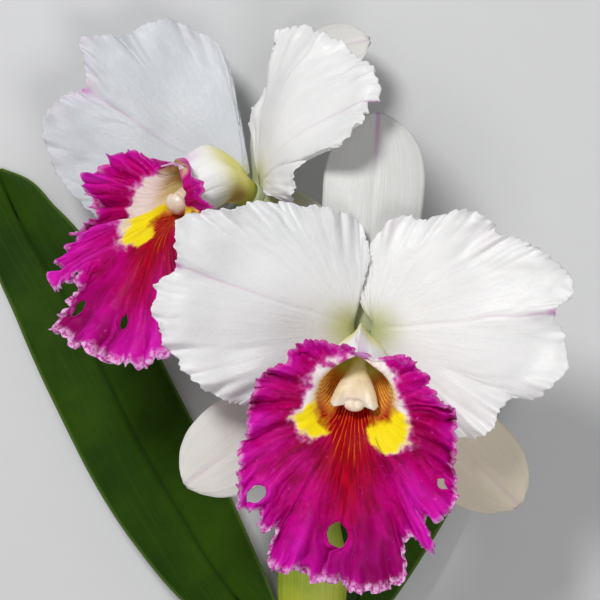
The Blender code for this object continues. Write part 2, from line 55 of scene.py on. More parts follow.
# Where the two blooms stand and which way they face
FRONT_CENTRE = (11.7, 160.0, 88.0)
FRONT_AXIS = (-0.05, -0.12, 0.99)
FRONT_UP = (0.09, 0.985, 0.12)
BACK_CENTRE = (-28.0, 214.0, 49.0)
BACK_AXIS = (-0.695, 0.370, 0.620)
BACK_UP = (0.2765, 0.931, -0.246)


def unit(v):
    v = np.asarray(v, float)
    return v / np.linalg.norm(v)


def smooth(xs, ys, x):
    """Read the smooth curve through the rows (xs, ys) at each x."""
    xs = np.asarray(xs, float)
    ys = np.asarray(ys, float)
    x = np.clip(np.asarray(x, float), xs[0], xs[-1])
    flat = ys.ndim == 1
    if flat:
        ys = ys[:, None]
    steps = np.diff(xs)[:, None]
    slopes = np.diff(ys, axis=0) / steps
    tangents = np.empty_like(ys)
    tangents[0] = slopes[0]
    tangents[-1] = slopes[-1]
    tangents[1:-1] = (slopes[:-1] * steps[1:] + slopes[1:] * steps[:-1]) / (steps[1:] + steps[:-1])
    i = np.clip(np.searchsorted(xs, x, side="right") - 1, 0, len(xs) - 2)
    h = (xs[i + 1] - xs[i])[..., None]
    u = (x - xs[i])[..., None] / h
    value = (
        (2 * u**3 - 3 * u**2 + 1) * ys[i]
        + (u**3 - 2 * u**2 + u) * h * tangents[i]
        + (3 * u**2 - 2 * u**3) * ys[i + 1]
        + (u**3 - u**2) * h * tangents[i + 1]
    )
    return value[..., 0] if flat else value


def curve(rows, x):
    """Read the smooth curve through (place, value) rows at each x."""
    return smooth([row[0] for row in rows], [row[1] for row in rows], x)


def line(rows, x):
    """Read the straight runs through (place, value) rows at each x."""
    return np.interp(x, [row[0] for row in rows], [row[1] for row in rows])


def arc_length(points):
    """Distance along a row of points, from its start to each of them."""
    return np.concatenate([[0], np.cumsum(np.linalg.norm(np.diff(points, axis=0), axis=1))])


def along(points, count):
    """Points evenly spaced on the smooth curve through the given ones."""
    points = np.asarray(points, float)
    reach = arc_length(points)
    return smooth(reach, points, np.linspace(0, reach[-1], count))


def step(x):
    """Ease from 0 to 1 as x goes from 0 to 1."""
    x = np.clip(x, 0, 1)
    return x * x * (3 - 2 * x)


def bell(x, width):
    """1 at x = 0, and falling off on both sides over the width."""
    return np.exp(-(x / width) ** 2)


def fade(x, reach):
    """1 at x = 0, and falling off beyond it over the reach."""
    return np.exp(-x / reach)


def wander(x, seed):
    """A smooth random curve between -1 and 1, with one bend for each unit of x."""
    table = np.random.default_rng(seed).uniform(-1, 1, CURVE_VALUES)
    x = np.asarray(x, float)
    i = np.floor(x).astype(int)
    f = step(x - i)
    return table[i % CURVE_VALUES] * (1 - f) + table[(i + 1) % CURVE_VALUES] * f


def wander2(x, y, seed):
    """A smooth random surface between -1 and 1, with one bend for each unit."""
    size = SURFACE_VALUES
    table = np.random.default_rng(seed).uniform(-1, 1, (size, size))
    x, y = np.broadcast_arrays(np.asarray(x, float), np.asarray(y, float))
    i, j = np.floor(x).astype(int), np.floor(y).astype(int)
    f, g = step(x - i), step(y - j)
    low = table[i % size, j % size] * (1 - f) + table[(i + 1) % size, j % size] * f
    high = table[i % size, (j + 1) % size] * (1 - f) + table[(i + 1) % size, (j + 1) % size] * f
    return low * (1 - g) + high * g


def waves(rows, x, seed):
    """Sum of random curves along x: a row gives height, length of a bend and seed step."""
    return sum(height * wander(x / length, seed + extra) for height, length, extra in rows)


def turn_gap(angles, centre):
    """Signed difference between angles in degrees."""
    return (angles - centre + 180) % 360 - 180


def ring_angles(sides):
    return np.linspace(0, -FULL_TURN, sides, endpoint=False)


class Bloom:
    """Place and directions of one bloom: right, up and forward."""

    def __init__(self, centre, axis, up):
        self.centre = np.asarray(centre, float)
        self.axis = unit(axis)
        up = np.asarray(up, float)
        self.up = unit(up - (up @ self.axis) * self.axis)
        self.right = np.cross(self.up, self.axis)

    def point(self, right, up, axis):
        return self.centre + right * self.right + up * self.up + axis * self.axis

    def direction(self, right, up, axis):
        return unit(right * self.right + up * self.up + axis * self.axis)


FRONT = Bloom(FRONT_CENTRE, FRONT_AXIS, FRONT_UP)
BACK = Bloom(BACK_CENTRE, BACK_AXIS, BACK_UP)


def grid_normals(grid, closed=False, slits=()):
    """Unit normals of a surface grid, from its neighbours' differences."""
    du = np.gradient(grid, axis=0)
    if closed:
        dv = (np.roll(grid, -1, axis=1) - np.roll(grid, 1, axis=1)) / 2
    else:
        dv = np.gradient(grid, axis=1)
    for column, _, _ in slits:
        dv[:, column] = grid[:, column] - grid[:, column - 1]
        dv[:, column + 1] = grid[:, column + 2] - grid[:, column + 1]
    n = np.cross(du, dv)
    return n / np.maximum(np.linalg.norm(n, axis=2, keepdims=True), 1e-9)


def make_object(name, node, look, verts, faces, facts):
    """One piece: its mesh with named values at its points, its body and its finish."""
    mesh = bpy.data.meshes.new(name)
    mesh.from_pydata((np.asarray(verts) * MM).tolist(), [], faces)
    mesh.update()
    mesh.shade_smooth()
    for key, values in facts.items():
        layer = mesh.attributes.new(key, "FLOAT", "POINT")
        layer.data.foreach_set("value", np.ascontiguousarray(values, dtype=np.float32).ravel())
    mesh.materials.append(look)
    obj = bpy.data.objects.new(name, mesh)
    bpy.context.scene.collection.objects.link(obj)
    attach(obj, "root")
    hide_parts(node)
    return obj


def blade(node, look, grid, front, back, facts, facing=None, closed=False, slits=()):
    """A thin closed solid around a surface grid, in the place of a node.

    front and back are its depths on either side of the grid. facts are values
    for each grid point, which both sides get, and "side" is 0 in front and 1
    behind. A slit (column, start, stop) parts that column from the next one
    in those rows; in the other rows the two are one.
    """
    rows, cols = grid.shape[:2]
    normals = grid_normals(grid, closed, slits)
    facts = {key: np.broadcast_to(value, (rows, cols)) for key, value in facts.items()}
    front, back = np.broadcast_to(front, (rows, cols)), np.broadcast_to(back, (rows, cols))
    if facing is not None and (normals @ np.asarray(facing, float)).sum() < 0:
        grid, front, back = grid[:, ::-1], front[:, ::-1], back[:, ::-1]
        normals = -normals[:, ::-1]
        facts = {key: value[:, ::-1] for key, value in facts.items()}
    outer, inner = grid + normals * front[..., None], grid - normals * back[..., None]
    verts = np.concatenate([outer.reshape(-1, 3), inner.reshape(-1, 3)])
    far = rows * cols
    index = np.arange(far).reshape(rows, cols)
    spans = np.arange(cols if closed else cols - 1)
    for column, start, stop in slits:
        index[:start, column + 1] = index[:start, column]
        index[stop:, column + 1] = index[stop:, column]
        spans = spans[spans != column]
    beside = (spans + 1) % cols
    corners = [index[:-1, spans], index[1:, spans], index[1:, beside], index[:-1, beside]]
    quads = np.stack(corners, -1).reshape(-1, 4)
    edges = np.concatenate([quads[:, [k, (k + 1) % 4]] for k in range(4)])
    ways = edges[:, 0] * far + edges[:, 1]
    against = edges[:, 1] * far + edges[:, 0]
    a, b = edges[~np.isin(ways, against)].T
    walls = np.stack([b, a, a + far, b + far], -1)
    faces = np.concatenate([quads, quads[:, ::-1] + far, walls])
    used, faces = np.unique(faces, return_inverse=True)
    both = {key: np.tile(value.ravel(), 2)[used] for key, value in facts.items()}
    both["side"] = (used >= far) * 1.0
    return make_object(node + "_skin", node, look, verts[used], faces.reshape(-1, 4).tolist(), both)


def loft(node, look, rings, facts):
    """A closed solid through rings of equal count, with filled ends, in the place of a node.

    facts are values for each ring point, and an end's middle takes its ring's mean.
    """
    rings = np.asarray(rings)
    count, sides = rings.shape[:2]
    verts = np.concatenate([rings.reshape(-1, 3), rings[0].mean(0)[None], rings[-1].mean(0)[None]])
    i, j = np.meshgrid(np.arange(count - 1), np.arange(sides), indexing="ij")
    k = (j + 1) % sides
    quads = np.stack([i * sides + j, i * sides + k, (i + 1) * sides + k, (i + 1) * sides + j], -1)
    faces = quads.reshape(-1, 4).tolist()
    start, end = count * sides, count * sides + 1
    for j in range(sides):
        k = (j + 1) % sides
        faces += [(start, k, j), (end, (count - 1) * sides + j, (count - 1) * sides + k)]
    ended = {}
    for key, value in facts.items():
        value = np.broadcast_to(value, (count, sides))
        ended[key] = np.concatenate([value.ravel(), [value[0].mean(), value[-1].mean()]])
    return make_object(node + "_flesh", node, look, verts, faces, ended)


def sweep_frames(path, side_hint):
    """Tangent, side and top directions along a path."""
    tangents = np.gradient(path, axis=0)
    tangents /= np.linalg.norm(tangents, axis=1, keepdims=True)
    sides = np.cross(tangents, side_hint)
    sides /= np.linalg.norm(sides, axis=1, keepdims=True)
    tops = np.cross(sides, tangents)
    return tangents, sides, tops


def tube_rings(path, widths, heights, sides, hint, start_normal=None, end_normal=None):
    """Elliptic rings across a path; end rings may lie in a given plane."""
    tangents, across, tops = sweep_frames(path, hint)
    angles = ring_angles(sides)
    rings = []
    for i, centre in enumerate(path):
        wide = np.outer(np.cos(angles) * widths[i], across[i])
        high = np.outer(np.sin(angles) * heights[i], tops[i])
        rings.append(centre + wide + high)
    for index, normal in ((0, start_normal), (-1, end_normal)):
        if normal is not None:
            normal = unit(normal)
            slope = tangents[index] @ normal
            off = (rings[index] - path[index]) @ normal
            rings[index] = rings[index] - np.outer(off / slope, tangents[index])
    return np.array(rings)


# A Mix node's sockets for two colours and their mixture
MIX_FIRST, MIX_SECOND, MIX_RESULT = 6, 7, 2


class Look:
    """A node material under construction; each coat lies over the colours so far.

    glow is the weight, radius and scale of the light that goes through it. Noise
    scales are per metre and bump distances in metres, and facts are as the mesh
    holds them, mostly in millimetres.
    """

    def __init__(self, name, roughness, glow=(), **even):
        self.mat = bpy.data.materials.new(name)
        self.mat.use_nodes = True
        self.tree = self.mat.node_tree
        self.shader = self.tree.nodes["Principled BSDF"]
        self.colour = None
        even.update(zip(("Subsurface_Weight", "Subsurface_Radius", "Subsurface_Scale"), glow))
        even["Roughness"] = roughness
        for socket, value in even.items():
            self.shader.inputs[socket.replace("_", " ")].default_value = value

    def put(self, socket, value):
        if isinstance(value, bpy.types.NodeSocket):
            self.tree.links.new(value, socket)
        elif isinstance(value, tuple) and len(value) == 3 and socket.type == "RGBA":
            socket.default_value = (*value, 1)
        else:
            socket.default_value = value

    def node(self, kind, inputs=(), **settings):
        made = self.tree.nodes.new("ShaderNode" + kind)
        for key, value in settings.items():
            setattr(made, key, value)
        for index, value in dict(inputs).items():
            self.put(made.inputs[index], value)
        return made

    def math(self, operation, a, b=0.0):
        return self.node("Math", {0: a, 1: b}, operation=operation).outputs[0]

    def times(self, a, b):
        return self.math("MULTIPLY", a, b)

    def plus(self, a, b):
        return self.math("ADD", a, b)

    def swing(self, value, size):
        """A noise's distance from its middle value, made size times as large."""
        return self.times(self.math("SUBTRACT", value, 0.5), size)

    def fact(self, name):
        """A named value of the mesh."""
        return self.node("Attribute", attribute_name=name).outputs["Fac"]

    def facts(self, *names):
        return [self.fact(name) for name in names]

    def vector(self, x, y, z=0.0):
        return self.node("CombineXYZ", {0: x, 1: y, 2: z}).outputs[0]

    def place(self, scale=(1, 1, 1)):
        """Object coordinates, stretched."""
        coords = self.node("TexCoord").outputs["Object"]
        return self.node("Mapping", {"Vector": coords, "Scale": scale}).outputs[0]

    def noise(self, vector, scale, detail=2.0, rough=0.5):
        inputs = {"Vector": vector, "Scale": scale, "Detail": detail, "Roughness": rough}
        return self.node("TexNoise", inputs).outputs["Fac"]

    def grain(self, scale, detail=2.0, rough=0.5, stretch=(1, 1, 1)):
        """Noise through the piece's own space."""
        return self.noise(self.place(stretch), scale, detail, rough)

    def streaks(self, x, x_scale, y, y_scale, detail=2.0, rough=0.5):
        """Noise over two facts, drawn out along the one with the smaller scale."""
        return self.noise(self.vector(self.times(x, x_scale), self.times(y, y_scale)), 1.0, detail, rough)

    def ease(self, value, low, high, to_low=0.0, to_high=1.0):
        """Map low..high to to_low..to_high smoothly, and hold beyond them."""
        inputs = {"Value": value, "From Min": low, "From Max": high, "To Min": to_low, "To Max": to_high}
        return self.node("MapRange", inputs, interpolation_type="SMOOTHSTEP").outputs["Result"]

    def mix(self, factor, a, b):
        made = self.node("Mix", {"Factor": factor, MIX_FIRST: a, MIX_SECOND: b}, data_type="RGBA")
        return made.outputs[MIX_RESULT]

    def between(self, value, low, high, colours):
        """From the first colour where value is low to the second where it is high."""
        return self.mix(self.ease(value, low, high), *colours)

    def coat(self, factor, colour):
        self.colour = self.mix(factor, self.colour, colour)

    def tint(self, value, low, high, colour, most=1.0):
        """A coat from nothing where value is low to its most where it is high."""
        self.coat(self.ease(value, low, high, 0.0, most), colour)

    def bump(self, height, distance, strength, under=None):
        inputs = {"Height": height, "Distance": distance, "Strength": strength}
        if under is not None:
            inputs["Normal"] = under
        return self.node("Bump", inputs).outputs["Normal"]

    def wear(self, normal=None, roughness=None):
        for socket, value in (("Base Color", self.colour), ("Normal", normal), ("Roughness", roughness)):
            if value is not None:
                self.put(self.shader.inputs[socket], value)
        return self.mat


# Petals

PETAL_ROWS, PETAL_COLS = 60, 350
PETAL_DEPTH = 0.38
PETAL_RIM_DEPTH = 0.14
RIM_BEVEL = 5.0

# Half the claw's width, the share of the edge beside it that stays plain, and
# how the rows crowd towards the edge
CLAW_HALF = 2.4
CLAW_SHARE = 0.14
PETAL_ROW_SHARES = [0, 0.35, 1]
PETAL_ROW_PLACES = [0, 0.5, 1]
PETAL_SPREAD = 0.8

# Small teeth of the margin: height, length of a bend and seed step
PETAL_TEETH = [(0.7, 2.0, 0), (0.6, 0.9, 1), (0.7, 7.0, 2)]
PETAL_TEETH_MEAN = 0.6
PETAL_TEETH_REACH = 4.0

# Pleats, frill and crimps along the margin: their lengths, and their reach inwards
PLEAT_LENGTH, PLEAT_REACH = 5.4, 5.0
CRIMP_LENGTH, CRIMP_REACH = 2.6, 1.6
BUMP_LENGTH, BUMP_REACH = 4.6, 12.0
PUCKER_SIZE, PUCKER_REACH = 2.6, 9.0
CURL_HEIGHT, CURL_LENGTH, CURL_REACH = -1.6, 19.0, 6.0

PETAL_WHITES = (0.825, 0.82, 0.81), (0.885, 0.87, 0.86)
# Painted shade: a bluish grey laid over each petal by its shade value
PETAL_SHADE = (0.54, 0.57, 0.61)
PETAL_VEIN = (0.70, 0.69, 0.72)
PETAL_SHEEN = (0.92, 0.91, 0.91)
PETAL_BLUSH = (0.78, 0.60, 0.76)
PETAL_PINK = (0.60, 0.20, 0.50)
PETAL_LIME = (0.50, 0.52, 0.18)

# The edge runs from the lower to the upper end of the claw, as distances
# along the midrib and across it. folds are (place on the edge, half width,
# height, reach inwards): creases that run in from the edge.
# shade is each petal's share of the painted shade.
PETALS = {
    "front_petal_left": (FRONT, dict(
        start=(-0.916, 0.322, 0.24), end=(-0.935, 0.328, 0.12), across=(0.331, 0.943, 0), length=72,
        claw=(2.1, 4.4), lift=5.0, level=-1.2, side=-1, ruffle=2.2, waves=7.5,
        phase=0.6, dish=1.5, seed=11, shade=0.22,
        folds=[(0.24, 1.6, 1.8, 8), (0.345, 2.6, 2.6, 13), (0.47, 1.7, 2.4, 9), (0.57, 2.2, 1.8, 8),
               (-0.22, 1.5, 1.3, 7), (-0.33, 1.7, 1.5, 8), (-0.44, 1.6, 1.4, 7), (-0.52, 2.6, 3.4, 7),
               (-0.66, 1.5, 1.5, 17), (0.18, 1.4, 2.0, 9), (0.41, 1.3, 1.8, 8), (0.64, 1.7, 1.6, 10)],
        swells=[(44, -19, 9, 3.2), (30, -27, 6, -1.6), (48, 13, 8, 1.6), (60, 9, 6, -1.4),
                (28, 14, 9, -1.2), (62, -12, 6, -1.2)],
        edge=[(5, -9), (11, -20), (20, -31), (29.5, -37.5), (37, -39.5), (45, -37.5), (54, -34),
              (60.5, -30), (68.5, -23.5), (73, -16), (73.5, -9), (70, 0.5), (74, 7.5), (75, 14),
              (67.5, 20.5), (58, 25.5), (47.5, 31), (35.5, 34), (25, 36.5), (16, 36.5), (8.5, 30), (5, 15),
              (3.5, 6)])),
    "front_petal_right": (FRONT, dict(
        start=(0.973, 0.097, 0.208), end=(0.99, 0.099, 0.08), across=(-0.099, 0.995, 0), length=72,
        claw=(2.6, 4.0), lift=5.0, level=-1.2, side=1, ruffle=2.4, waves=8,
        phase=2.2, dish=1.5, seed=23, shade=0.0,
        folds=[(0.315, 2.1, 4.8, 9), (0.40, 1.5, 1.4, 6), (0.52, 1.8, 1.4, 8), (0.68, 1.8, 1.5, 9),
               (-0.14, 1.5, 1.2, 6), (-0.30, 1.7, 1.5, 7), (-0.47, 1.8, 2.4, 10), (-0.56, 1.5, 2.2, 12),
               (-0.64, 1.6, 2.0, 14), (-0.74, 1.7, 1.4, 15)],
        swells=[(40, -12, 12, 2.4), (44, 18, 8, -1.8), (27, 16, 9, 1.4), (62, 6, 7, 1.4),
                (58, -18, 7, -1.4)],
        edge=[(6, -6), (11, -18), (19, -31), (29.5, -40), (36.5, -41), (42, -39.5), (44.5, -34),
              (49.5, -29), (57, -29.5), (65.5, -24.5), (71, -17), (71, -11), (67.5, 0), (74.2, 5.5),
              (75.0, 11), (68, 19), (58, 26.5), (50.5, 29), (48, 34.5), (39, 38.5), (29, 37), (19, 38.5),
              (12, 36.5), (6.2, 31), (3.6, 24.5), (1.9, 17), (0.5, 9.5), (1.8, 6.6), (3.0, 4.2)])),
    "back_petal_left": (BACK, dict(
        start=(-0.712, 0.377, -0.519), end=(-0.866, 0.574, 0.043), across=(0.52, 0.80, -0.17), length=75,
        claw=(5.3, 5.3), lift=2.5, level=-1.5, side=-1, ruffle=2.0, waves=7,
        phase=0.0, dish=1.0, seed=37, shade=0.80,
        folds=[(0.235, 1.8, 4.0, 9), (0.10, 1.6, 1.3, 6), (0.42, 1.9, 1.4, 8), (0.60, 2.1, 1.2, 9),
               (-0.12, 1.6, 1.4, 6), (-0.28, 1.7, 1.3, 7), (-0.48, 1.7, 1.6, 8)],
        swells=[(40, 14, 11, 2.2), (64, -14, 9, 1.8), (70, 18, 8, -2.0), (45, -22, 9, -1.6)],
        edge=[(6, -6), (12, -20), (22, -31), (35, -36), (48, -38), (59, -36), (71, -31), (80, -24.5),
              (84.5, -18), (83, -6), (78, 0), (84, 8.5), (90, 14), (86, 20), (76, 26.5), (72, 33.6),
              (67, 39.2), (57, 41.8), (46, 42.2), (37, 37.2), (30, 29), (20, 19.5), (11, 10.5), (6, 5)])),
    "back_petal_right": (BACK, dict(
        start=(0.092, 0.647, 0.759), end=(0.932, 0.328, 0.164), across=(-0.157, 0.760, -0.630), length=75,
        claw=(5.8, 5.8), lift=2.5, level=-3.6, side=-1, ruffle=1.8, waves=7,
        phase=0.4, dish=-1.0, seed=53, shade=0.0, rib_lean=-0.17,
        folds=[(-0.08, 1.8, 2.2, 8), (-0.20, 1.6, 2.0, 9), (-0.31, 1.8, 2.4, 9), (-0.42, 1.6, 1.8, 8),
               (0.20, 2.0, 3.4, 11), (0.36, 1.6, 1.5, 8), (-0.70, 1.8, 2.0, 10)],
        swells=[(45, 12, 9, 2.2), (56, -10, 8, -1.8), (30, 4, 8, 1.4), (25, -18, 6, -1.8)],
        edge=[(8, -6), (14, -15), (22, -25), (30, -29), (32, -22), (36, -17), (43, -17.5), (50, -22.5),
              (55, -24), (62, -22.5), (68, -15.5), (74, -8.5), (72, 5.5), (65, 19), (56, 33), (47, 43),
              (41, 45.5), (36, 39), (28, 31.5), (19, 30.5), (12, 29.5), (7.6, 26), (6, 19), (6, 8)])),
}

RIB_HEIGHT, RIB_WIDTH, RIB_START = 0.22, 1.0, 12.0

# Beside each fold runs a bank: its share of the height, and its place in half widths
FOLD_BANK, FOLD_BANK_PLACE = 0.55, 1.7


def bent_sheet(base, spec, s, t, h):
    """Points of a sheet whose midrib turns evenly from start to end direction."""
    start, end = unit(spec["start"]), unit(spec["end"])
    axis = unit(np.cross(start, end))
    across = axis * np.sign(axis @ np.asarray(spec["across"], float))
    turn = unit(end - (end @ start) * start)
    k = math.acos(float(start @ end)) / spec["length"]
    spine = (np.sin(k * s) / k)[..., None] * start + ((1 - np.cos(k * s)) / k)[..., None] * turn
    heading = np.cos(k * s)[..., None] * start + np.sin(k * s)[..., None] * turn
    normal = np.cross(heading, across)
    return base + spine + t[..., None] * across + h[..., None] * normal


def petal_layout(spec):
    """Where a petal's points lie: along and across the midrib, and in from the edge."""
    edge = along(spec["edge"], PETAL_COLS)
    arc = arc_length(edge)
    v = np.linspace(-1, 1, PETAL_COLS)
    hold = step((1 - np.abs(v)) / CLAW_SHARE)
    claw = np.stack([np.interp(v, [-1, 1], spec["claw"]), v * CLAW_HALF], axis=1)
    spoke = edge - claw
    span = np.linalg.norm(spoke, axis=1)
    shares = np.interp(np.linspace(0, 1, PETAL_ROWS), PETAL_ROW_SHARES, PETAL_ROW_PLACES)
    w = shares[:, None] ** PETAL_SPREAD
    rim = (1 - w) * span[None]
    teeth = hold * (waves(PETAL_TEETH, arc, spec["seed"]) - PETAL_TEETH_MEAN) * fade(rim, PETAL_TEETH_REACH)
    st = claw[None] * (1 - w[..., None]) + edge[None] * w[..., None]
    st = st + teeth[..., None] * (spoke / span[:, None])[None]
    return st[..., 0], st[..., 1], arc, v[None], w, rim, hold


def petal_margin(seed, s, t, arc, around, rim):
    """Pleats, bumps, frill, puckers and curls of a petal's margin.

    A random term is its height times a wander over a distance, which is divided
    by the length of one bend in millimetres.
    """
    sway = 2.4 * wander2(arc[None] / 7, rim / 5, seed + 13)
    pleat = FULL_TURN * around / PLEAT_LENGTH + 5.0 * wander(arc / 11, seed + 5) + sway
    depth = np.clip(0.22 + wander(arc / 12, seed + 6), 0.04, 1.2)
    bumps = 1.1 * wander2(arc[None] / BUMP_LENGTH, rim / 6, seed + 14) * fade(rim, BUMP_REACH)
    pleats = depth * np.sin(pleat) * fade(rim, PLEAT_REACH) + bumps
    crimp = FULL_TURN * arc / CRIMP_LENGTH + 3.4 * wander(arc / 4, seed + 7)
    frill = (0.36 + 0.25 * wander(arc / 6, seed + 11)) * np.sin(crimp) * fade(rim, CRIMP_REACH)
    pucker = 0.14 * wander2(s / PUCKER_SIZE + 40, t / PUCKER_SIZE + 40, seed + 12) * fade(rim, PUCKER_REACH)
    curl = CURL_HEIGHT * np.clip(wander(arc / CURL_LENGTH, seed + 8), -0.4, 1) * fade(rim, CURL_REACH)
    return pleats + frill + pucker + curl


def petal_folds(spec, v, arc, around, rim):
    """The creases that run in from a petal's edge, each with a bank beside it."""
    creases = 0.0
    for place, half, height, reach in spec["folds"]:
        x = (around - np.interp(place, v[0], arc)) / half
        inwards = np.exp(-(rim / reach) ** 1.5)
        creases = creases + height * inwards * (bell(x, 1) - FOLD_BANK * bell(x - FOLD_BANK_PLACE, 1))
    return creases


def petal_surface(bloom, spec):
    """A petal's grid and its facts: veins fan from a narrow claw to a frilled edge."""
    seed, side = spec["seed"], spec["side"]
    s, t, arc, v, w, rim, hold = petal_layout(spec)
    around = arc + 0.10 * rim * wander(arc / 15, seed + 10)
    ruffle = spec["ruffle"] * w**5 * np.sin(spec["waves"] * math.pi * v + spec["phase"])
    dish = -spec["dish"] * w**2 * v**2
    broad = 0.8 * w**2 * wander2(w * 1.6 + 5, around / 15, seed + 3)
    broad = broad + w * wander2(s / 13 + 9, t / 13 + 9, seed + 4)
    for place_s, place_t, spread, height in spec["swells"]:
        broad = broad + height * np.exp(-((s - place_s) ** 2 + (t - place_t) ** 2) / (2 * spread**2))
    from_rib = np.abs(t - spec.get("rib_lean", 0) * s + 0.5 * wander(s / 9, seed + 15))
    rib = bell(from_rib, RIB_WIDTH) * step(s / RIB_START)
    margin = petal_margin(seed, s, t, arc, around, rim) + petal_folds(spec, v, arc, around, rim)
    veins = 0.012 * w * wander(v * 60, seed + 9)
    lean = side * (ruffle + dish) - side * RIB_HEIGHT * rib + broad + hold * margin + veins
    grid = bent_sheet(bloom.point(0, spec["lift"], spec["level"]), spec, s, t, lean)
    facts = {
        "vein_x": w, "vein_y": v, "rib": from_rib, "along": s, "rim": rim, "shade": spec["shade"],
        "root": np.hypot(s - spec["claw"][1], t * 1.1),
    }
    return grid, facts


def petal_look():
    glow = (0.30, (0.9, 0.8, 0.75), 0.0015)
    look = Look("petal_white", 0.5, glow, Sheen_Weight=0.08, Sheen_Roughness=0.5)
    x, y, reach, rib, rim, root = look.facts("vein_x", "vein_y", "along", "rib", "rim", "root")
    veins, fine = look.streaks(x, 2.2, y, 34.0, 3.0, 0.55), look.streaks(x, 5.0, y, 95.0)
    cells, clouds, crinkle = look.grain(1400.0), look.grain(38.0), look.grain(420.0, 3.0, 0.6)
    look.colour = look.between(clouds, 0.35, 0.7, PETAL_WHITES)
    # Painted shade, by each petal's share
    look.coat(look.fact("shade"), PETAL_SHADE)
    look.tint(veins, 0.46, 0.72, PETAL_VEIN, 0.14)
    look.tint(fine, 0.5, 0.75, PETAL_SHEEN, 0.12)
    look.coat(look.times(look.ease(clouds, 0.48, 0.7), look.ease(rim, 11.0, 0.0, 0.0, 0.4)), PETAL_BLUSH)
    pink = look.times(look.ease(rib, 0.8, 0.1), look.ease(reach, 20.0, 68.0, 0.03, 0.36))
    pink = look.times(pink, look.ease(veins, 0.3, 0.6, 0.4, 1.0))
    tip = look.times(look.ease(rib, 1.8, 0.2), look.ease(rim, 5.0, 0.5, 0.0, 0.8))
    look.coat(look.math("MAXIMUM", pink, tip), PETAL_PINK)
    look.tint(look.plus(root, look.times(veins, 4.0)), 16.0, 2.0, PETAL_LIME, 0.9)
    relief = look.plus(look.times(veins, 0.6), look.times(fine, 0.4))
    relief = look.plus(relief, look.times(crinkle, 0.9))
    normal = look.bump(cells, 0.00006, 0.5, look.bump(relief, 0.00036, 0.6))
    return look.wear(normal, look.ease(cells, 0.3, 0.7, 0.42, 0.58))


def add_petals():
    look = petal_look()
    for name, (bloom, spec) in PETALS.items():
        grid, facts = petal_surface(bloom, spec)
        depth = PETAL_RIM_DEPTH + (PETAL_DEPTH - PETAL_RIM_DEPTH) * step(facts["rim"] / RIM_BEVEL)
        blade(name, look, grid, depth, depth, facts, facing=bloom.axis)


# Sepals

SEPAL_ROWS, SEPAL_COLS = 80, 36
SEPAL_DEPTH = 0.5
SEPAL_RIM_CUT = 0.32
SEPAL_KEEL, SEPAL_KEEL_WIDTH = 0.5, 1.5
SEPAL_CHANNEL, SEPAL_CHANNEL_WIDTH = -0.35, 1.2
SEPAL_VEIN_LENGTH = 80

# Share of the full width along a sepal
SEPAL_PROFILE = [(0, 0.19), (0.05, 0.34), (0.12, 0.48), (0.25, 0.70), (0.42, 0.92), (0.6, 1.0),
                 (0.75, 0.98), (0.86, 0.83), (0.94, 0.55), (0.985, 0.25), (1, 0.08)]

# The midrib's route goes to the right, up and forward from the bloom's centre
# shade is each sepal's share of a painted shade of grey.
SEPALS = {
    "front_dorsal_sepal": (FRONT, dict(
        width=35.5, turn_back=2.0, seed=61, shade=0.65, blush=1.0,
        route=[(0, 4.2, -3.3), (-0.2, 15, -6.5), (-0.5, 32, -10), (-1, 56, -16.5), (-2, 79.5, -27)])),
    "front_sepal_left": (FRONT, dict(
        width=33, turn_back=2.0, seed=67, route=[(-4.0, -3.8, -3.3), (-30, -31, -6), (-58, -58.5, -15)])),
    "front_sepal_right": (FRONT, dict(
        width=33, turn_back=2.0, seed=71, age=1.0,
        route=[(4.1, -3.7, -3.3), (31, -28.5, -8), (61.5, -55, -20)])),
    "back_dorsal_sepal": (BACK, dict(
        width=33, turn_back=2.0, seed=73, shade=0.4,
        route=[(0, 5.4, -3.3), (-3.5, 25, -4), (-4.5, 45, -7), (2.5, 62, -12), (15, 71, -21)])),
    "back_sepal_left": (BACK, dict(
        width=29, turn_back=-2.0, seed=79, route=[(-4.5, -3.1, -3.3), (-22, -26, -7), (-42, -52, -12)])),
    "back_sepal_right": (BACK, dict(
        width=33, turn_back=2.0, seed=83,
        route=[(5.2, -1.6, -3.3), (13, -4.4, -9), (20, -13.6, -18.5), (25.5, -23.8, -30), (33, -35, -43)])),
}

SEPAL_CREAMS = (0.80, 0.785, 0.75), (0.87, 0.85, 0.82)
SEPAL_VEIN = (0.60, 0.56, 0.46)
SEPAL_SHEEN = (0.86, 0.84, 0.80)
SEPAL_BACK = (0.55, 0.58, 0.34)
# A beige tint, full on the front right sepal and faint on the others
SEPAL_BEIGE = (0.66, 0.53, 0.31)
# Painted shade: a grey laid over each sepal by its shade value, most on the front dorsal one
SEPAL_SHADE = (0.56, 0.57, 0.57)
SEPAL_PINK = (0.58, 0.30, 0.52)
SEPAL_FOOT = (0.40, 0.43, 0.22)


def sepal_surface(bloom, spec):
    """A sepal's grid and facts: an oval strap on a route, its margins turned back."""
    seed = spec["seed"]
    route = along([bloom.point(*p) for p in spec["route"]], SEPAL_ROWS)
    _, across, tops = sweep_frames(route, bloom.axis)
    u = np.linspace(0, 1, SEPAL_ROWS)[:, None]
    v = np.linspace(-1, 1, SEPAL_COLS)[None]
    share = curve(SEPAL_PROFILE, u[:, 0])[:, None]
    half = share * spec["width"] / 2
    wave = 0.5 * v**2 * wander(u * 7, seed) * np.sign(v) + 0.25 * v**4 * wander(u * 21, seed + 1)
    veins = 0.05 * wander(v * 11, seed + 2)
    channel = SEPAL_CHANNEL * bell(v * half, SEPAL_CHANNEL_WIDTH) * step(u * 6)
    drop = -spec["turn_back"] * share * v**2 + wave * share + veins + channel
    grid = route[:, None] + (half * v)[..., None] * across[:, None] + drop[..., None] * tops[:, None]
    length = arc_length(route)[:, None]
    facts = {
        "vein_x": length / SEPAL_VEIN_LENGTH, "vein_y": v, "rib": np.abs(v * half),
        "along": length, "tip": length[-1] - length,
        "age": spec.get("age", 0.15), "shade": spec.get("shade", 0.0), "blush": spec.get("blush", 0.3),
    }
    return grid, facts


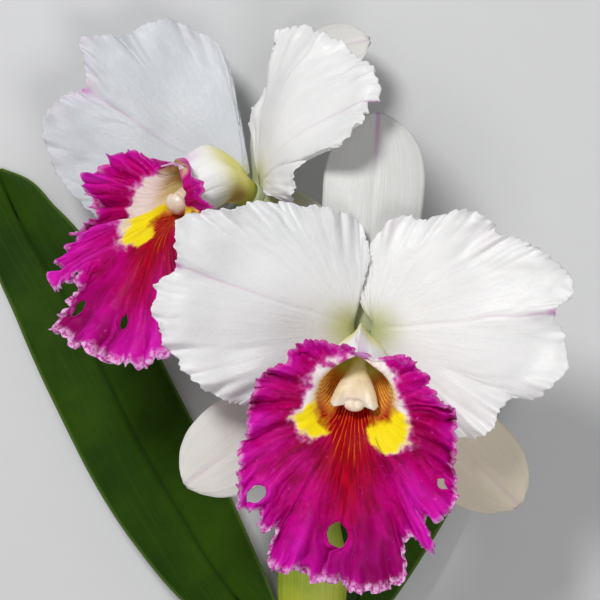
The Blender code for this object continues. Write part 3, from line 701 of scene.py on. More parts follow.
def sepal_look():
    glow = (0.25, (0.9, 0.8, 0.7), 0.0015)
    look = Look("sepal_cream_white", 0.48, glow, Sheen_Weight=0.1, Sheen_Roughness=0.5)
    x, y, reach, rib, tip, side = look.facts("vein_x", "vein_y", "along", "rib", "tip", "side")
    veins, fine = look.streaks(x, 2.0, y, 12.0, 3.0, 0.6), look.streaks(x, 6.0, y, 42.0)
    cells, clouds = look.grain(1300.0), look.grain(45.0)
    look.colour = look.between(clouds, 0.35, 0.7, SEPAL_CREAMS)
    look.tint(veins, 0.48, 0.7, SEPAL_VEIN, 0.25)
    look.tint(fine, 0.52, 0.75, SEPAL_SHEEN, 0.15)
    look.coat(look.times(side, look.ease(rib, 6.0, 0.5, 0.15, 0.55)), SEPAL_BACK)
    # The beige tint, by each sepal's share
    look.coat(look.times(look.fact("age"), 0.55), SEPAL_BEIGE)
    # Painted shade, by each sepal's share
    look.coat(look.fact("shade"), SEPAL_SHADE)
    pink = look.times(look.ease(rib, 1.5, 0.1), look.ease(tip, 27.0, 2.0, 0.0, 0.75))
    look.coat(look.times(pink, look.fact("blush")), SEPAL_PINK)
    look.tint(reach, 24.0, 4.0, SEPAL_FOOT)
    relief = look.plus(look.times(veins, 0.6), look.times(fine, 0.4))
    normal = look.bump(cells, 0.00006, 0.5, look.bump(relief, 0.00035, 0.7))
    return look.wear(normal, look.ease(cells, 0.3, 0.7, 0.42, 0.56))


def add_sepals():
    look = sepal_look()
    for name, (bloom, spec) in SEPALS.items():
        grid, facts = sepal_surface(bloom, spec)
        inner = SEPAL_DEPTH - SEPAL_RIM_CUT * step(np.abs(facts["vein_y"]) * 4 - 3)
        keel = SEPAL_KEEL * bell(facts["rib"], SEPAL_KEEL_WIDTH)
        blade(name, look, grid, inner, inner + keel, facts, facing=bloom.axis)


# Lips

LIP_ROWS, LIP_COLS = 74, 660
LIP_DEPTH = 0.34
LIP_RIM_DEPTH = 0.15
LIP_BEVEL = 4.0
SEAM_BEVEL = 14.0

# The lip's tube: height above the axis, distance along it and radius
TUBE_BASE = (0.0, 0.3, 4.3)
TUBE_NECK = (0.0, 8.0, 6.5)
TUBE_WAIST = (-3.0, 19.0, 10.0)
THROAT = (-14.0, 31.0, 13.6)
WAIST_LEAN = (0, 0.92, 0.39)

# Where the tube's two edges lap on its roof
SEAM_ANGLE = 93.0
LAP_ANGLE = 4.0
LAP_SHARE = 0.12
SEEN_LAP = 0.2

# How the rows crowd towards the edge, where the stations from base to edge sit
# in them, and the distance from the throat's mouth at the first four stations
LIP_ROW_SHARES = [0, 0.18, 0.62, 1]
LIP_ROW_PLACES = [0, 0.50, 0.84, 1]
LIP_STATIONS = [0, 0.14, 0.34, 0.56, 0.8, 1]
MOUTH_STATION = 3
LIP_RHO = [-18.0, -10.0, 1.5, 13.6]

# How far the throat blends into the blade, the blade bulges, and where lobes
# and frills begin and over what reach they grow
THROAT_BLEND = 10.0
BULGE_REACH = 30.0
LOBE_START = 14.3
LOBE_REACH = 7.0
FRILL_REACH = 20.0
PLAIN_RIM = 30.0

# Small teeth of the edge: height, length of a bend and seed step
LIP_TEETH = [(0.28, 1.3, 0), (0.22, 0.7, 1)]
ROLL_LENGTH, LIP_CRIMP_LENGTH = 7.6, 2.7
FOLD_TURN, FOLD_HEIGHT = 8.5, 3.8
CREASE_DEPTH, CREASE_WIDTH = -1.6, 5.5

# The roof and the throat's opening are pointed at the seam: angle from the
# seam and share of the radius
ROOF_SHAPE = [(0, 1.27), (6, 1.08), (14, 0.94), (28, 0.83), (48, 0.84), (75, 0.95), (110, 1.0), (180, 1.0)]
MOUTH_SHAPE = [(0, 1.13), (9, 1.06), (22, 0.985), (45, 0.955), (75, 0.98), (110, 1.0), (180, 1.0)]

# The edge gives, for each angle from the right counterclockwise, the reach
# from the throat's centre and the distance forward of it. splits are (angle,
# where the hole starts and ends, its half width, half the gap between the
# banks beyond it, the lift of one bank over the other): banks with a gap
# below 0 overlap, and a hole whose gap is None closes again. Yellow, white
# and stripes end at these reaches, and mouth narrows the throat's opening.
# The value after crimp is the share of painted shade on the cream rim.
LIPS = {
    "front_lip": (FRONT, dict(
        bulge=2.0, crease=268.0, red=270.0, seed=101, scallop=(3.3, 1.1), crimp=1.0, cream_shade=0.0,
        mouth=[(-90, 1), (270, 1)],
        splits=[(268.2, 42.0, 51.0, 3.7, -2.0, 2.4), (228.8, 41.5, 49.0, 2.7, None, 0.0),
                (321.5, 38.8, 43.0, 1.7, None, 0.0)],
        yellow=[[(183, 12), (191, 17.5), (199, 21.3), (210, 21.8), (222, 21.4), (230, 19), (238, 15),
                (247, 9)],
                [(284, 9), (292, 13.4), (300, 18.4), (308, 22.2), (317, 23.4), (328, 23.3), (341, 21.6),
                (349, 18.5), (356, 12)]],
        white=[(-10, 17.2), (10, 14.9), (25, 14.7), (40, 15.8), (55, 15.2), (80, 14.6), (96, 14.4),
               (115, 14.6), (130, 15.4), (142, 16.8), (158, 17.0), (172, 16.6), (181, 16.8), (190, 18.8),
               (199, 21.2), (212, 21.6), (223, 21.2), (232, 17), (240, 10), (250, 5), (284, 5), (291, 10),
               (300, 16), (309, 22.0), (318, 23.6), (328, 23.4), (340, 21.8), (350, 18.2)],
        stripes=[(-10, 13.6), (20, 13.2), (55, 11.6), (93, 8), (115, 11.8), (174, 12.4), (203, 14.2),
                 (216, 13.6), (228, 12.4), (240, 13.6), (250, 17), (268, 24), (283, 19), (292, 13),
                 (300, 10.6), (312, 11.4), (334, 13.6), (350, 13.6)],
        edge=[(89, 15.6, 0), (93, 16.0, 0.5), (96, 16.5, 1), (102, 18.2, 1.5), (108, 19.3, 2),
              (114, 19.4, 2), (120, 20.8, 3), (126, 24, 3), (132, 25.5, 4), (138, 26.5, 4), (144, 27, 4),
              (150, 27.4, 5), (156, 26, 5), (162, 29.2, 5), (168, 31.2, 5), (174, 33.5, 5), (180, 34, 5),
              (186, 35.3, 5), (192, 36.2, 6), (198, 37.2, 6), (204, 38.5, 6), (208, 42.2, 7),
              (213, 43.2, 7), (219, 47.2, 7), (225, 50.4, 8), (228.5, 53.3, 8), (231.5, 51, 8),
              (234.5, 49, 8), (238, 52.4, 8), (240.5, 54, 8), (242.5, 51, 8), (244.6, 50.6, 8),
              (246.4, 60, 8), (249, 62.8, 8), (252, 63.4, 8), (255.5, 61, 8), (259, 61.8, 8), (262, 63, 8),
              (266, 61.5, 8), (270, 61.8, 8), (276, 65, 7), (282, 65.5, 7), (288, 64.3, 6),
              (291.6, 61.8, 6), (293.6, 53.5, 6), (296, 50.4, 6), (299.4, 51, 6), (301.4, 56.2, 6),
              (303.8, 56.8, 6), (305.2, 48.5, 5), (307, 45.2, 5), (309, 48.4, 5), (315, 49.4, 5),
              (319, 48.8, 5), (324, 45.8, 5), (328, 42.8, 5), (332, 39.6, 4), (336, 39.5, 4),
              (342, 37.5, 4), (348, 35.5, 4), (354, 34.8, 3), (360, 33.2, 3), (364, 29.2, 3),
              (368, 27.4, 3), (372, 27.4, 3), (375.5, 24.6, 3), (380, 25.8, 3), (385, 26, 3),
              (390, 24.6, 2), (393, 23.2, 2), (397, 24.2, 2), (403, 23.2, 2), (408, 22.4, 2),
              (413, 20.5, 2), (420, 17.8, 1), (427, 15.6, 1), (433, 15.0, 0), (445, 15.2, 0),
              (453, 16.0, 0), (458, 15.8, 0)])),
    "back_lip": (BACK, dict(
        bulge=2.0, crease=262.0, red=266.0, seed=131, scallop=(6.4, 2.1), crimp=0.8, cream_shade=1.0,
        mouth=[(-90, 1), (-40, 0.86), (-10, 0.50), (60, 0.50), (85, 0.74), (130, 1), (270, 1)],
        splits=[(239.5, 49.0, 57.0, 2.4, -0.6, 1.6), (262.5, 46.0, 52.0, 2.0, -1.4, 1.8)],
        yellow=[[(200, 10), (207, 17), (216, 22.5), (228, 25), (240, 24.5), (250, 21.5), (260, 16),
                (270, 11)],
                [(292, 10), (300, 15), (318, 18), (335, 15), (345, 10)]],
        white=[(-10, 6.0), (20, 4.0), (60, 1.0), (80, 0), (93, 0), (112, 2.0), (126, 7.0), (140, 14.0),
               (160, 18.5), (176, 19.6), (190, 20.5), (205, 22), (220, 25.5), (234, 25), (246, 20),
               (256, 14), (268, 6), (284, 6), (292, 9), (318, 14), (335, 12), (350, 8)],
        stripes=[(-10, 8.0), (40, 6.0), (93, -2), (140, -2.0), (180, 0.0), (205, 7.0), (225, 12.5),
                 (240, 14.0), (254, 15), (264, 20), (274, 24), (284, 20), (292, 15), (312, 12.0),
                 (335, 10.0), (350, 8.0)],
        edge=[(89, 11.4, 3.2), (98, 12.0, 3), (110, 12.8, 3.2), (122, 14.2, 4.2), (132, 16.4, 5.6),
              (139, 19.5, 7.2), (144, 24, 8.4), (148, 28, 9), (154, 29.8, 10.6), (160, 31, 12),
              (166, 33.4, 12), (171, 33.8, 12), (175, 36, 12), (179, 41, 11), (183, 38, 10),
              (186, 35.8, 9.5), (190, 36, 9), (194, 33.4, 9), (198, 35, 9), (201.5, 38.5, 9),
              (204.5, 44.5, 9.3), (207, 40, 9.4), (209.5, 35.5, 9.6), (213, 38, 9.9), (216, 48.5, 10),
              (220, 51.5, 10.2), (223.5, 55, 10.4), (227.5, 54.5, 10.6), (229.5, 47, 10.7),
              (233, 45, 10.8), (235.2, 52, 10.9), (237, 60.5, 11), (243, 62.3, 9.6), (249, 64.2, 8.3),
              (255, 63, 6.5), (261, 63.5, 4.3), (267, 64, 1.3), (273, 63.5, -2.8), (279, 61.8, -6),
              (285, 54.5, -8.1), (295, 46, -9), (310, 36, -9), (325, 27, -7), (335, 20, -4),
              (341, 17.5, -2), (345, 20.5, -1), (349, 21.8, -0.5), (353, 16.2, 0), (357, 15.2, 1),
              (361, 17.0, 1.4), (366, 18.2, 2.2), (371, 17.4, 2.8), (378, 14.4, 3.6), (384, 12.8, 4),
              (390, 12.6, 4), (402, 13.2, 4), (414, 13.6, 4), (430, 12.4, 3.8), (440, 11.6, 3.4),
              (449, 11.4, 3.2), (458, 11.2, 3.2)])),
}

FIRST_TURN, LAST_TURN = SEAM_ANGLE - LAP_ANGLE, SEAM_ANGLE + 360 + LAP_ANGLE
EDGE_SAMPLES = 4000
LEAST_REACH = 20
LEAST_FREEDOM = 0.05
MOUTH_LIMIT = 0.97
LOBE_MEAN = 0.6

# Zones of colour in the throat, as angles and widths in degrees
BOTTOM_ANGLE = 268
WARM_ANGLE, WARM_HALF, WARM_BLEND = 316, 44, 34
YELLOW_SLOPE = 0.28

# The blade from its middle to its edge, dark to light
LIP_INNER = (0.20, 0.0, 0.018), (0.42, 0.0, 0.070)
LIP_MIDDLE = (0.33, 0.0, 0.070), (0.55, 0.0, 0.19)
LIP_CRIMSON = (0.24, 0.0, 0.006), (0.52, 0.0, 0.020)
LIP_CLOUD = (0.57, 0.0, 0.25)
LIP_VEINS = (0.28, 0.0, 0.060), (0.68, 0.004, 0.40)
# Painted shade and painted highlight of the fine crinkles: dark and light flecks
LIP_CRINKLE_SHADE_AND_GLINT = (0.26, 0.0, 0.07), (0.70, 0.01, 0.42)
LIP_FAR = (0.56, 0.004, 0.40)
LIP_RIM = (0.60, 0.004, 0.40)
# Painted highlight on the crests of frills and folds, and painted shade in their hollows
LIP_CREST_HIGHLIGHT = (0.72, 0.014, 0.50)
LIP_HOLLOW_SHADE = (0.21, 0.0, 0.045)
LIP_EDGE = (0.86, 0.50, 0.80)
# Painted glints: small pale specks
LIP_GLINT = (0.78, 0.25, 0.62)

# The throat's cream rim, yellow patches and stripes
CREAMS = (0.94, 0.74, 0.36), (0.90, 0.80, 0.78)
CREAM_FRINGE = (0.70, 0.20, 0.58)
# Painted shade: a darker copy of the cream rim for the back lip, yellow inwards and pinker outwards
SHADED_CREAM_YELLOW = (0.80, 0.64, 0.28)
SHADED_CREAM_PINKS = (0.72, 0.55, 0.50), (0.80, 0.65, 0.60)
GOLDS = (0.95, 0.70, 0.008), (0.96, 0.76, 0.010)
# Inside the throat the ground and marks are made lighter, partly as painted light for its shade
STRIPE_GROUNDS = (0.92, 0.42, 0.060), (0.34, 0.0, 0.005)
STRIPE_MARKS = (0.48, 0.10, 0.012), (0.76, 0.14, 0.012)
# Painted light: lighter stripe colours for the walls under the roof, which the roof shades
STRIPE_LIT = (0.98, 0.68, 0.20), (0.76, 0.28, 0.04)
# Yellow-green at the roof and deep in the tube, made lighter as painted light against the tube's shade
ROOF_GREEN_WITH_PAINTED_LIGHT = (0.84, 0.86, 0.28)

# The tube's outside, from its mouth to its foot
TUBE_BLUSH = (0.66, 0.36, 0.58), (0.84, 0.74, 0.80)
TUBE_IVORY = (0.96, 0.945, 0.92)
TUBE_LEMON = (0.88, 0.80, 0.26)
TUBE_OLIVE = (0.56, 0.56, 0.08)
TUBE_TAN = (0.44, 0.19, 0.03)
TUBE_RIDGE = (0.66, 0.34, 0.62)
TUBE_RIM = (0.58, 0.22, 0.52)
BLADE_BACK = (0.62, 0.12, 0.46)


def lip_turns(spec):
    """Angles of the lip's columns, even along its edge and doubled at its splits."""
    turns = np.linspace(FIRST_TURN, LAST_TURN, EDGE_SAMPLES)
    reach = np.maximum(curve([row[:2] for row in spec["edge"]], turns), LEAST_REACH)
    outline = np.stack([reach * np.cos(np.radians(turns)), reach * np.sin(np.radians(turns))], axis=1)
    arc = arc_length(outline)
    turns = np.interp(np.linspace(0, arc[-1], LIP_COLS), arc, turns)
    banks = []
    for split in spec["splits"]:
        column = int(np.argmin(np.abs(turns - split[0])))
        turns = np.insert(turns, column + 1, turns[column])
        banks = [b + 1 if b > column else b for b in banks] + [column]
    return turns, banks


def lip_edge(spec, turns):
    """Each column's reach with its scallops and teeth, its distance forward, its
    place along the edge, and how free it is to frill."""
    seed = spec["seed"]
    edge = smooth([row[0] for row in spec["edge"]], [row[1:] for row in spec["edge"]], turns)
    full, depth = edge[:, 0], edge[:, 1:]
    phi = np.radians(turns)[:, None]
    arc = arc_length(full[:, None] * np.concatenate([np.cos(phi), np.sin(phi)], axis=1))
    period, rise = spec["scallop"]
    lobes = np.abs(np.sin(math.pi * arc / period + 2.6 * wander(arc / 7, seed + 2)))
    teeth = rise * (lobes - LOBE_MEAN) * (1 + 0.5 * wander(arc / 8, seed + 14)) + waves(LIP_TEETH, arc, seed)
    room = np.clip((full - LOBE_START) / LOBE_REACH, 0, 1)
    freedom = np.clip((full - LOBE_START) / FRILL_REACH, LEAST_FREEDOM, 1)
    return (full + teeth * room)[:, None], depth, arc, freedom


def lip_form(bloom, spec, turns, w, reach, depth):
    """The lip's grid without its frills, through the stations, and its mouth's radius."""
    phi = np.radians(turns)[:, None]
    v = (turns - SEAM_ANGLE - 180) / (180 + LAP_ANGLE)
    lap = (np.clip((np.abs(v) - 1) / LAP_SHARE + 1, 0, 1) * np.sign(v) * SEEN_LAP)[:, None]
    from_seam = np.abs(turn_gap(turns, SEAM_ANGLE))
    ridge = curve(ROOF_SHAPE, from_seam)[:, None]
    flat = np.cos(phi) * bloom.right + np.sin(phi) * bloom.up
    lean = np.cos(phi) * bloom.right + np.sin(phi) * bloom.direction(*WAIST_LEAN)
    narrow = line(spec["mouth"], (turns + 90) % 360 - 90)[:, None]
    mouth = THROAT[2] * curve(MOUTH_SHAPE, from_seam)[:, None] * narrow
    mouth = np.minimum(mouth, reach * MOUTH_LIMIT)
    bulge = spec["bulge"] * np.clip((reach - mouth) / BULGE_REACH, 0, 1)
    level = depth * np.clip(1 - (reach - mouth) / THROAT_BLEND, 0, 1)
    throat = bloom.point(0, *THROAT[:2])
    stations = np.stack([
        bloom.point(0, *TUBE_BASE[:2]) + (TUBE_BASE[2] + lap * 0.5) * flat,
        bloom.point(0, *TUBE_NECK[:2]) + (TUBE_NECK[2] + lap) * ridge * flat,
        bloom.point(0, *TUBE_WAIST[:2]) + (TUBE_WAIST[2] + lap) * ridge * lean,
        throat + (mouth + lap) * flat + level * bloom.axis,
        throat + ((mouth + reach) / 2 + lap) * flat + (depth * 0.4 + bulge) * bloom.axis,
        throat + (reach + lap) * flat + depth * bloom.axis,
    ])
    grid = smooth(LIP_STATIONS, stations.reshape(len(stations), -1), w)
    return grid.reshape(len(w), len(turns), 3), mouth


def lip_frills(spec, turns, arc, across, high, rim, share):
    """The blade's frill and folds forward, and how far the frill slides sideways.

    A random term is its height times a wander over a distance or an angle, which
    is divided by the length of one bend in millimetres or degrees.
    """
    seed = spec["seed"]
    roll = FULL_TURN * arc / ROLL_LENGTH + 3.2 * wander(arc / 11, seed + 3)
    swell = 2.1 + 1.2 * wander(arc / 13, seed + 4)
    crimp = FULL_TURN * arc / LIP_CRIMP_LENGTH + 2.8 * wander(arc / 4.5, seed + 5)
    size = 0.75 + 0.4 * wander(arc / 6, seed + 6)
    sway = 1.5 * wander2(arc[None] / 6, rim / 4.5, seed + 15)
    bumps = wander2(arc[None] / 3.9, rim / 5.5, seed + 16) * fade(rim, 9)
    frill = swell * (0.85 * np.sin(roll + sway) * fade(rim, 6.5) + 0.70 * bumps)
    frill = frill + spec["crimp"] * size * np.sin(crimp + 1.2 * sway) * fade(rim, 2.4)
    bent = turns + 4.0 * share * wander(turns / 16, seed + 12)
    folds = FOLD_HEIGHT * wander(bent / FOLD_TURN, seed + 7)
    folds = folds + 0.9 * wander2(bent / 4.6, np.hypot(across, high) / 11, seed + 8)
    dimples = 0.30 * share * wander2(across / 3.2 + 30, high / 3.2 + 30, seed + 13)
    folds = folds * share * step(rim / 3 + 0.3) + dimples
    slide = 0.32 * swell * np.sin(2 * roll + sway) * fade(rim, 4) + 0.22 * np.cos(crimp) * fade(rim, 1.8)
    return frill, folds, slide


def part_split(local, out, outside, rim, column, split):
    """Spread a lip's two banks of a split into a hole, and lap them beyond it."""
    angle, start, end, half, gap, lift = split
    closes = gap is None
    phi = math.radians(angle)
    across_it = np.array([-math.sin(phi), math.cos(phi)])
    x = np.abs((local[..., :2] - local[:, column, None, :2]) @ across_it)
    bank = np.where(np.arange(out.shape[1]) <= column, -1.0, 1.0)[None]
    r = out[:, column, None]
    ragged = 1 + 0.12 * wander(r / 2.4, column) + 0.04 * wander(r / 0.9, column + 1)
    hole = half * ragged * np.sqrt(np.clip(1 - ((r - (start + end) / 2) / ((end - start) / 2)) ** 2, 0, 1))
    beyond = step((r - end + 1.5) / 2.5)
    if closes:
        gap, beyond = 0.0, beyond * 0
    width = np.maximum(hole, max(gap, 0) * beyond)
    near = bell(x, 13) * outside
    move = bank * near * (np.sqrt(x**2 + width**2) - x + min(gap, 0) * beyond * fade(x, 5))
    moved = local.copy()
    moved[..., :2] = local[..., :2] + move[..., None] * across_it
    moved[..., 2] = local[..., 2] + bank * near * lift * beyond * fade(x, 4)
    split_rows = (r > start - 1.0) & (outside > 0) & ((r < end + 1.0) | (not closes))
    rim = np.minimum(rim, np.where(split_rows, x + 0.1, 99))
    first = int(np.nonzero((out[:, column] > start) & (outside[:, 0] > 0))[0][0])
    stop = int(np.nonzero(out[:, column] > end)[0][0]) if closes else len(out)
    return moved, rim, (column, first, stop)


def lip_surface(bloom, spec):
    """A lip's grid and facts: a tube round the column that flares into a frilled blade."""
    seed = spec["seed"]
    turns, banks = lip_turns(spec)
    w = np.interp(np.linspace(0, 1, LIP_ROWS), LIP_ROW_SHARES, LIP_ROW_PLACES)
    reach, depth, arc, freedom = lip_edge(spec, turns)
    grid, mouth = lip_form(bloom, spec, turns, w, reach, depth)
    mouth, reach = mouth.T, reach.T

    throat = bloom.point(0, *THROAT[:2])
    local = grid - throat
    across, high, forward = local @ bloom.right, local @ bloom.up, local @ bloom.axis
    out, angle = np.hypot(across, high), np.arctan2(high, across)
    outside = (w[:, None] > LIP_STATIONS[MOUTH_STATION] + 0.01) * np.ones((1, len(turns)))
    share = np.clip((out - mouth) / np.maximum(reach - mouth, 0.5), 0, 1) * outside
    rim = np.maximum(reach - out, 0)
    loose = outside * freedom * step(share * 4)

    frill, folds, slide = lip_frills(spec, turns, arc, across, high, rim, share)
    crease = CREASE_DEPTH * bell(turn_gap(turns, spec["crease"]), CREASE_WIDTH)
    veins = 0.02 * wander(turns / 1.1, seed + 9) * step(w[:, None] * 3 - 0.6)
    forward = forward + loose * (frill + folds) + crease * step(share * 3) * step(rim / 10) + veins
    angle = angle + loose * slide / np.maximum(out, 1)
    local = np.stack([out * np.cos(angle), out * np.sin(angle), forward], axis=-1)
    bank = rim = np.where(outside > 0, rim, PLAIN_RIM)
    slits = []
    for split, column in zip(spec["splits"], banks):
        local, bank, slit = part_split(local, out, outside, bank, column, split)
        slits.append(slit)
    grid = throat + local[..., :1] * bloom.right + local[..., 1:2] * bloom.up + local[..., 2:] * bloom.axis

    ends = [np.full(len(turns), x) for x in LIP_RHO] + [(mouth[0] + reach[0]) / 2, reach[0]]
    rho = np.array([np.interp(w, LIP_STATIONS, column) for column in np.array(ends).T]).T
    # Height of frills and folds, for the painted highlight on crests and painted shade in hollows
    crest = loose * (0.4 * frill + 0.55 * folds)
    facts = {"rim": rim, "bank": bank, "crest": crest, "turn": turns / 10, "rho": rho}
    return grid, {**facts, **lip_zones(spec, turns, rho)}, slits


def lip_zones(spec, turns, rho):
    """How far a point lies inside the lip's yellow, white and striped zones, in
    millimetres, and its share in the throat's other zones."""
    yellow = np.full(rho.shape, -9.0)
    for rows in spec["yellow"]:
        side = np.minimum(turns - rows[0][0], rows[-1][0] - turns) * YELLOW_SLOPE
        yellow = np.maximum(yellow, np.minimum(side, line(rows, turns) - rho))
    around = (turns + 10) % 360 - 10
    seam = np.abs(turn_gap(turns, SEAM_ANGLE))
    red = np.abs(turn_gap(turns, spec["red"]))
    bottom = np.abs(turn_gap(turns, BOTTOM_ANGLE))
    warm = step((WARM_HALF - np.abs(turn_gap(turns, WARM_ANGLE))) / WARM_BLEND)
    return {
        "yellow": yellow,
        "white": line(spec["white"], around) - rho,
        "stripes": line(spec["stripes"], around) - rho,
        "red": step((50 - red) / 34) * step((56 - red * 0.8 - rho) / 26),
        "inner": step((112 - bottom) / 40) * step((34 + 4 * wander(turns / 9, 77) - rho) / 12),
        "green": np.maximum(step((46 - seam) / 24) * step((13.6 - rho) / 5), step((3.0 - rho) / 8)),
        # Share under the roof, where the stripes take the painted-light colours
        "roof": step((125 - seam) / 60),
        "warm": warm * step((rho + 15) / 5) * step((1 - rho) / 7),
        "spread": turns / 10 + 0.5 * np.clip(13 - rho, 0, 13) * np.cos(np.radians(turns)),
        "cream_shade": spec["cream_shade"],
    }


def lip_grain(look):
    """The facts and noises that the lip's colours follow."""
    turn, rho, rim, crest = look.facts("turn", "rho", "rim", "crest")
    out = look.times(rho, 0.10)
    bend = look.times(look.grain(60.0, 1.0), 3.0)
    ridges = look.noise(look.vector(look.plus(look.times(turn, 2.6), bend), out), 1.0)
    return SimpleNamespace(
        turn=turn, rho=rho, rim=rim, crest=crest, ridges=ridges,
        veins=look.noise(look.vector(look.times(turn, 5.5), out), 1.0, 4.0, 0.6),
        broad=look.streaks(turn, 1.3, out, 0.45), cells=look.grain(1500.0), spots=look.grain(620.0, 3.0, 0.6),
        clouds=look.grain(120.0), crinkle=look.grain(330.0, 3.0, 0.6), lumps=look.grain(230.0))


def paint_blade(look, g):
    """The magenta blade: veins, spots as painted crinkle shade and glints, crests with a painted highlight,
    hollows with painted shade, and a pale edge.
    """
    inner = look.between(g.ridges, 0.33, 0.66, LIP_INNER)
    look.colour = look.between(g.ridges, 0.33, 0.64, LIP_MIDDLE)
    look.tint(g.clouds, 0.42, 0.68, LIP_CLOUD, 0.5)
    look.tint(g.veins, 0.46, 0.28, LIP_VEINS[0], 0.28)
    look.coat(look.times(look.fact("inner"), 0.85), inner)
    look.tint(g.veins, 0.56, 0.74, LIP_VEINS[1], 0.28)
    # Painted shade and painted highlight of the fine crinkles
    look.tint(g.spots, 0.47, 0.33, LIP_CRINKLE_SHADE_AND_GLINT[0], 0.1)
    look.tint(g.spots, 0.52, 0.68, LIP_CRINKLE_SHADE_AND_GLINT[1], 0.25)
    look.tint(g.rho, 36.0, 58.0, LIP_FAR, 0.45)
    look.tint(g.rim, 8.0, 1.0, LIP_RIM, 0.55)
    # Painted highlight on crests and painted shade in hollows
    look.tint(g.crest, 0.3, 2.0, LIP_CREST_HIGHLIGHT, 0.75)
    look.tint(g.crest, -0.1, -1.5, LIP_HOLLOW_SHADE, 0.75)
    border = look.times(g.rim, look.ease(g.rho, 44.0, 58.0, 1.0, 0.6))
    edge = look.times(look.ease(border, 2.3, 0.1), look.ease(g.spots, 0.38, 0.58, 0.1, 0.9))
    look.coat(look.times(edge, look.ease(g.rho, 24.0, 54.0, 0.25, 1.1)), LIP_EDGE)
    # Painted glints
    look.tint(g.spots, 0.68, 0.76, LIP_GLINT, 0.3)
    look.coat(look.times(look.fact("red"), 0.95), look.between(g.veins, 0.36, 0.62, LIP_CRIMSON))


def stripes(look, g):
    """The throat's striped ground, with lighter colours under its roof as painted light."""
    wave = look.times(look.plus(look.fact("spread"), look.times(g.broad, 0.35)), 9.0)
    lines = look.plus(look.times(look.math("SINE", wave), 0.30), look.times(g.veins, 0.8))
    deep = look.ease(look.plus(g.rho, look.times(look.fact("red"), 5.0)), 8.0, 12.5)
    ground, marks = look.mix(deep, *STRIPE_GROUNDS), look.mix(deep, *STRIPE_MARKS)
    thin = look.between(lines, 0.36, 0.16, (ground, marks))
    fine = look.times(look.ease(lines, 0.20, 0.09), look.ease(g.rho, 27.0, 14.0, 0.2, 0.8))
    bands = look.mix(deep, thin, look.mix(fine, ground, marks))
    # Painted light under the roof
    return look.mix(look.fact("roof"), bands, look.between(lines, 0.36, 0.16, STRIPE_LIT))


def paint_throat(look, g):
    """The cream rim, darker on the back lip as painted shade, the yellow patches and the stripes, all with
    frayed ends, and the green roof lightened as painted light.
    """
    fray = look.plus(look.times(look.swing(g.veins, 4.0), 0.12), look.times(look.swing(g.spots, 4.0), 0.45))
    fray = look.plus(fray, look.swing(g.lumps, 11.0))
    # Painted shade: the back lip's cream rim mostly takes the darker copy
    shaded_cream = look.between(g.rho, 7.0, 14.0, (SHADED_CREAM_YELLOW, look.between(g.veins, 0.4, 0.6, SHADED_CREAM_PINKS)))
    cream = look.between(g.rho, 11.0, 15.5, CREAMS)
    cream = look.mix(look.times(look.fact("cream_shade"), 0.85), cream, shaded_cream)
    white = look.plus(look.fact("white"), fray)
    look.tint(white, -2.6, 0.2, CREAM_FRINGE, 0.6)
    look.tint(white, -1.0, 1.6, cream)
    gold = look.between(g.veins, 0.36, 0.62, GOLDS)
    look.tint(look.plus(look.fact("yellow"), look.times(fray, 0.8)), -1.4, 2.2, gold)
    look.tint(look.plus(look.fact("stripes"), look.times(fray, 0.6)), -2.4, 1.6, stripes(look, g))
    # The green of the roof and the deep tube, lightened as painted light
    look.coat(look.fact("green"), ROOF_GREEN_WITH_PAINTED_LIGHT)


def paint_outside(look, g):
    """The pale tube seen from outside, and the blade's paler back."""
    inside = look.colour
    blush = look.between(g.clouds, 0.35, 0.60, TUBE_BLUSH)
    look.colour = look.between(g.rho, 12.4, 15.0, (TUBE_IVORY, blush))
    look.tint(g.rho, 7.0, -6.0, TUBE_LEMON)
    look.tint(g.rho, -8.0, -16.0, TUBE_OLIVE)
    look.coat(look.times(look.fact("warm"), 0.75), TUBE_TAN)
    ridge = look.times(look.ease(g.turn, 43.4, 44.6), look.ease(g.rho, 2.0, 11.0, 0.0, 0.6))
    look.coat(look.times(ridge, look.ease(g.clouds, 0.35, 0.6, 0.45, 1.0)), TUBE_RIDGE)
    look.tint(g.rim, 4.0, 0.6, TUBE_RIM, 0.85)
    look.tint(g.rho, 14.5, 19.0, look.mix(0.30, inside, BLADE_BACK))
    look.colour = look.mix(look.fact("side"), inside, look.colour)


def lip_look():
    look = Look("lip_magenta", 0.5, (0.35, (0.8, 0.72, 0.7), 0.0014), Specular_IOR_Level=0.06)
    g = lip_grain(look)
    paint_blade(look, g)
    paint_throat(look, g)
    paint_outside(look, g)
    relief = look.plus(look.times(g.ridges, 0.8), look.times(g.crinkle, 0.7))
    normal = look.bump(g.cells, 0.00008, 0.6, look.bump(relief, 0.00026, 0.7))
    return look.wear(normal, look.ease(g.cells, 0.3, 0.7, 0.36, 0.56))


def add_lips():
    look = lip_look()
    for name, (bloom, spec) in LIPS.items():
        grid, facts, slits = lip_surface(bloom, spec)
        turns = facts["turn"] * 10
        depth = LIP_RIM_DEPTH + (LIP_DEPTH - LIP_RIM_DEPTH) * step(facts["bank"] / LIP_BEVEL)
        depth = depth * (0.4 + 0.6 * step(np.minimum(turns - FIRST_TURN, LAST_TURN - turns) / SEAM_BEVEL))
        blade(name, look, grid, depth, depth, facts, slits=slits)


# Columns and anther caps

COLUMN_RINGS, COLUMN_SIDES = 72, 72
CAP_RINGS, CAP_SIDES = 28, 40

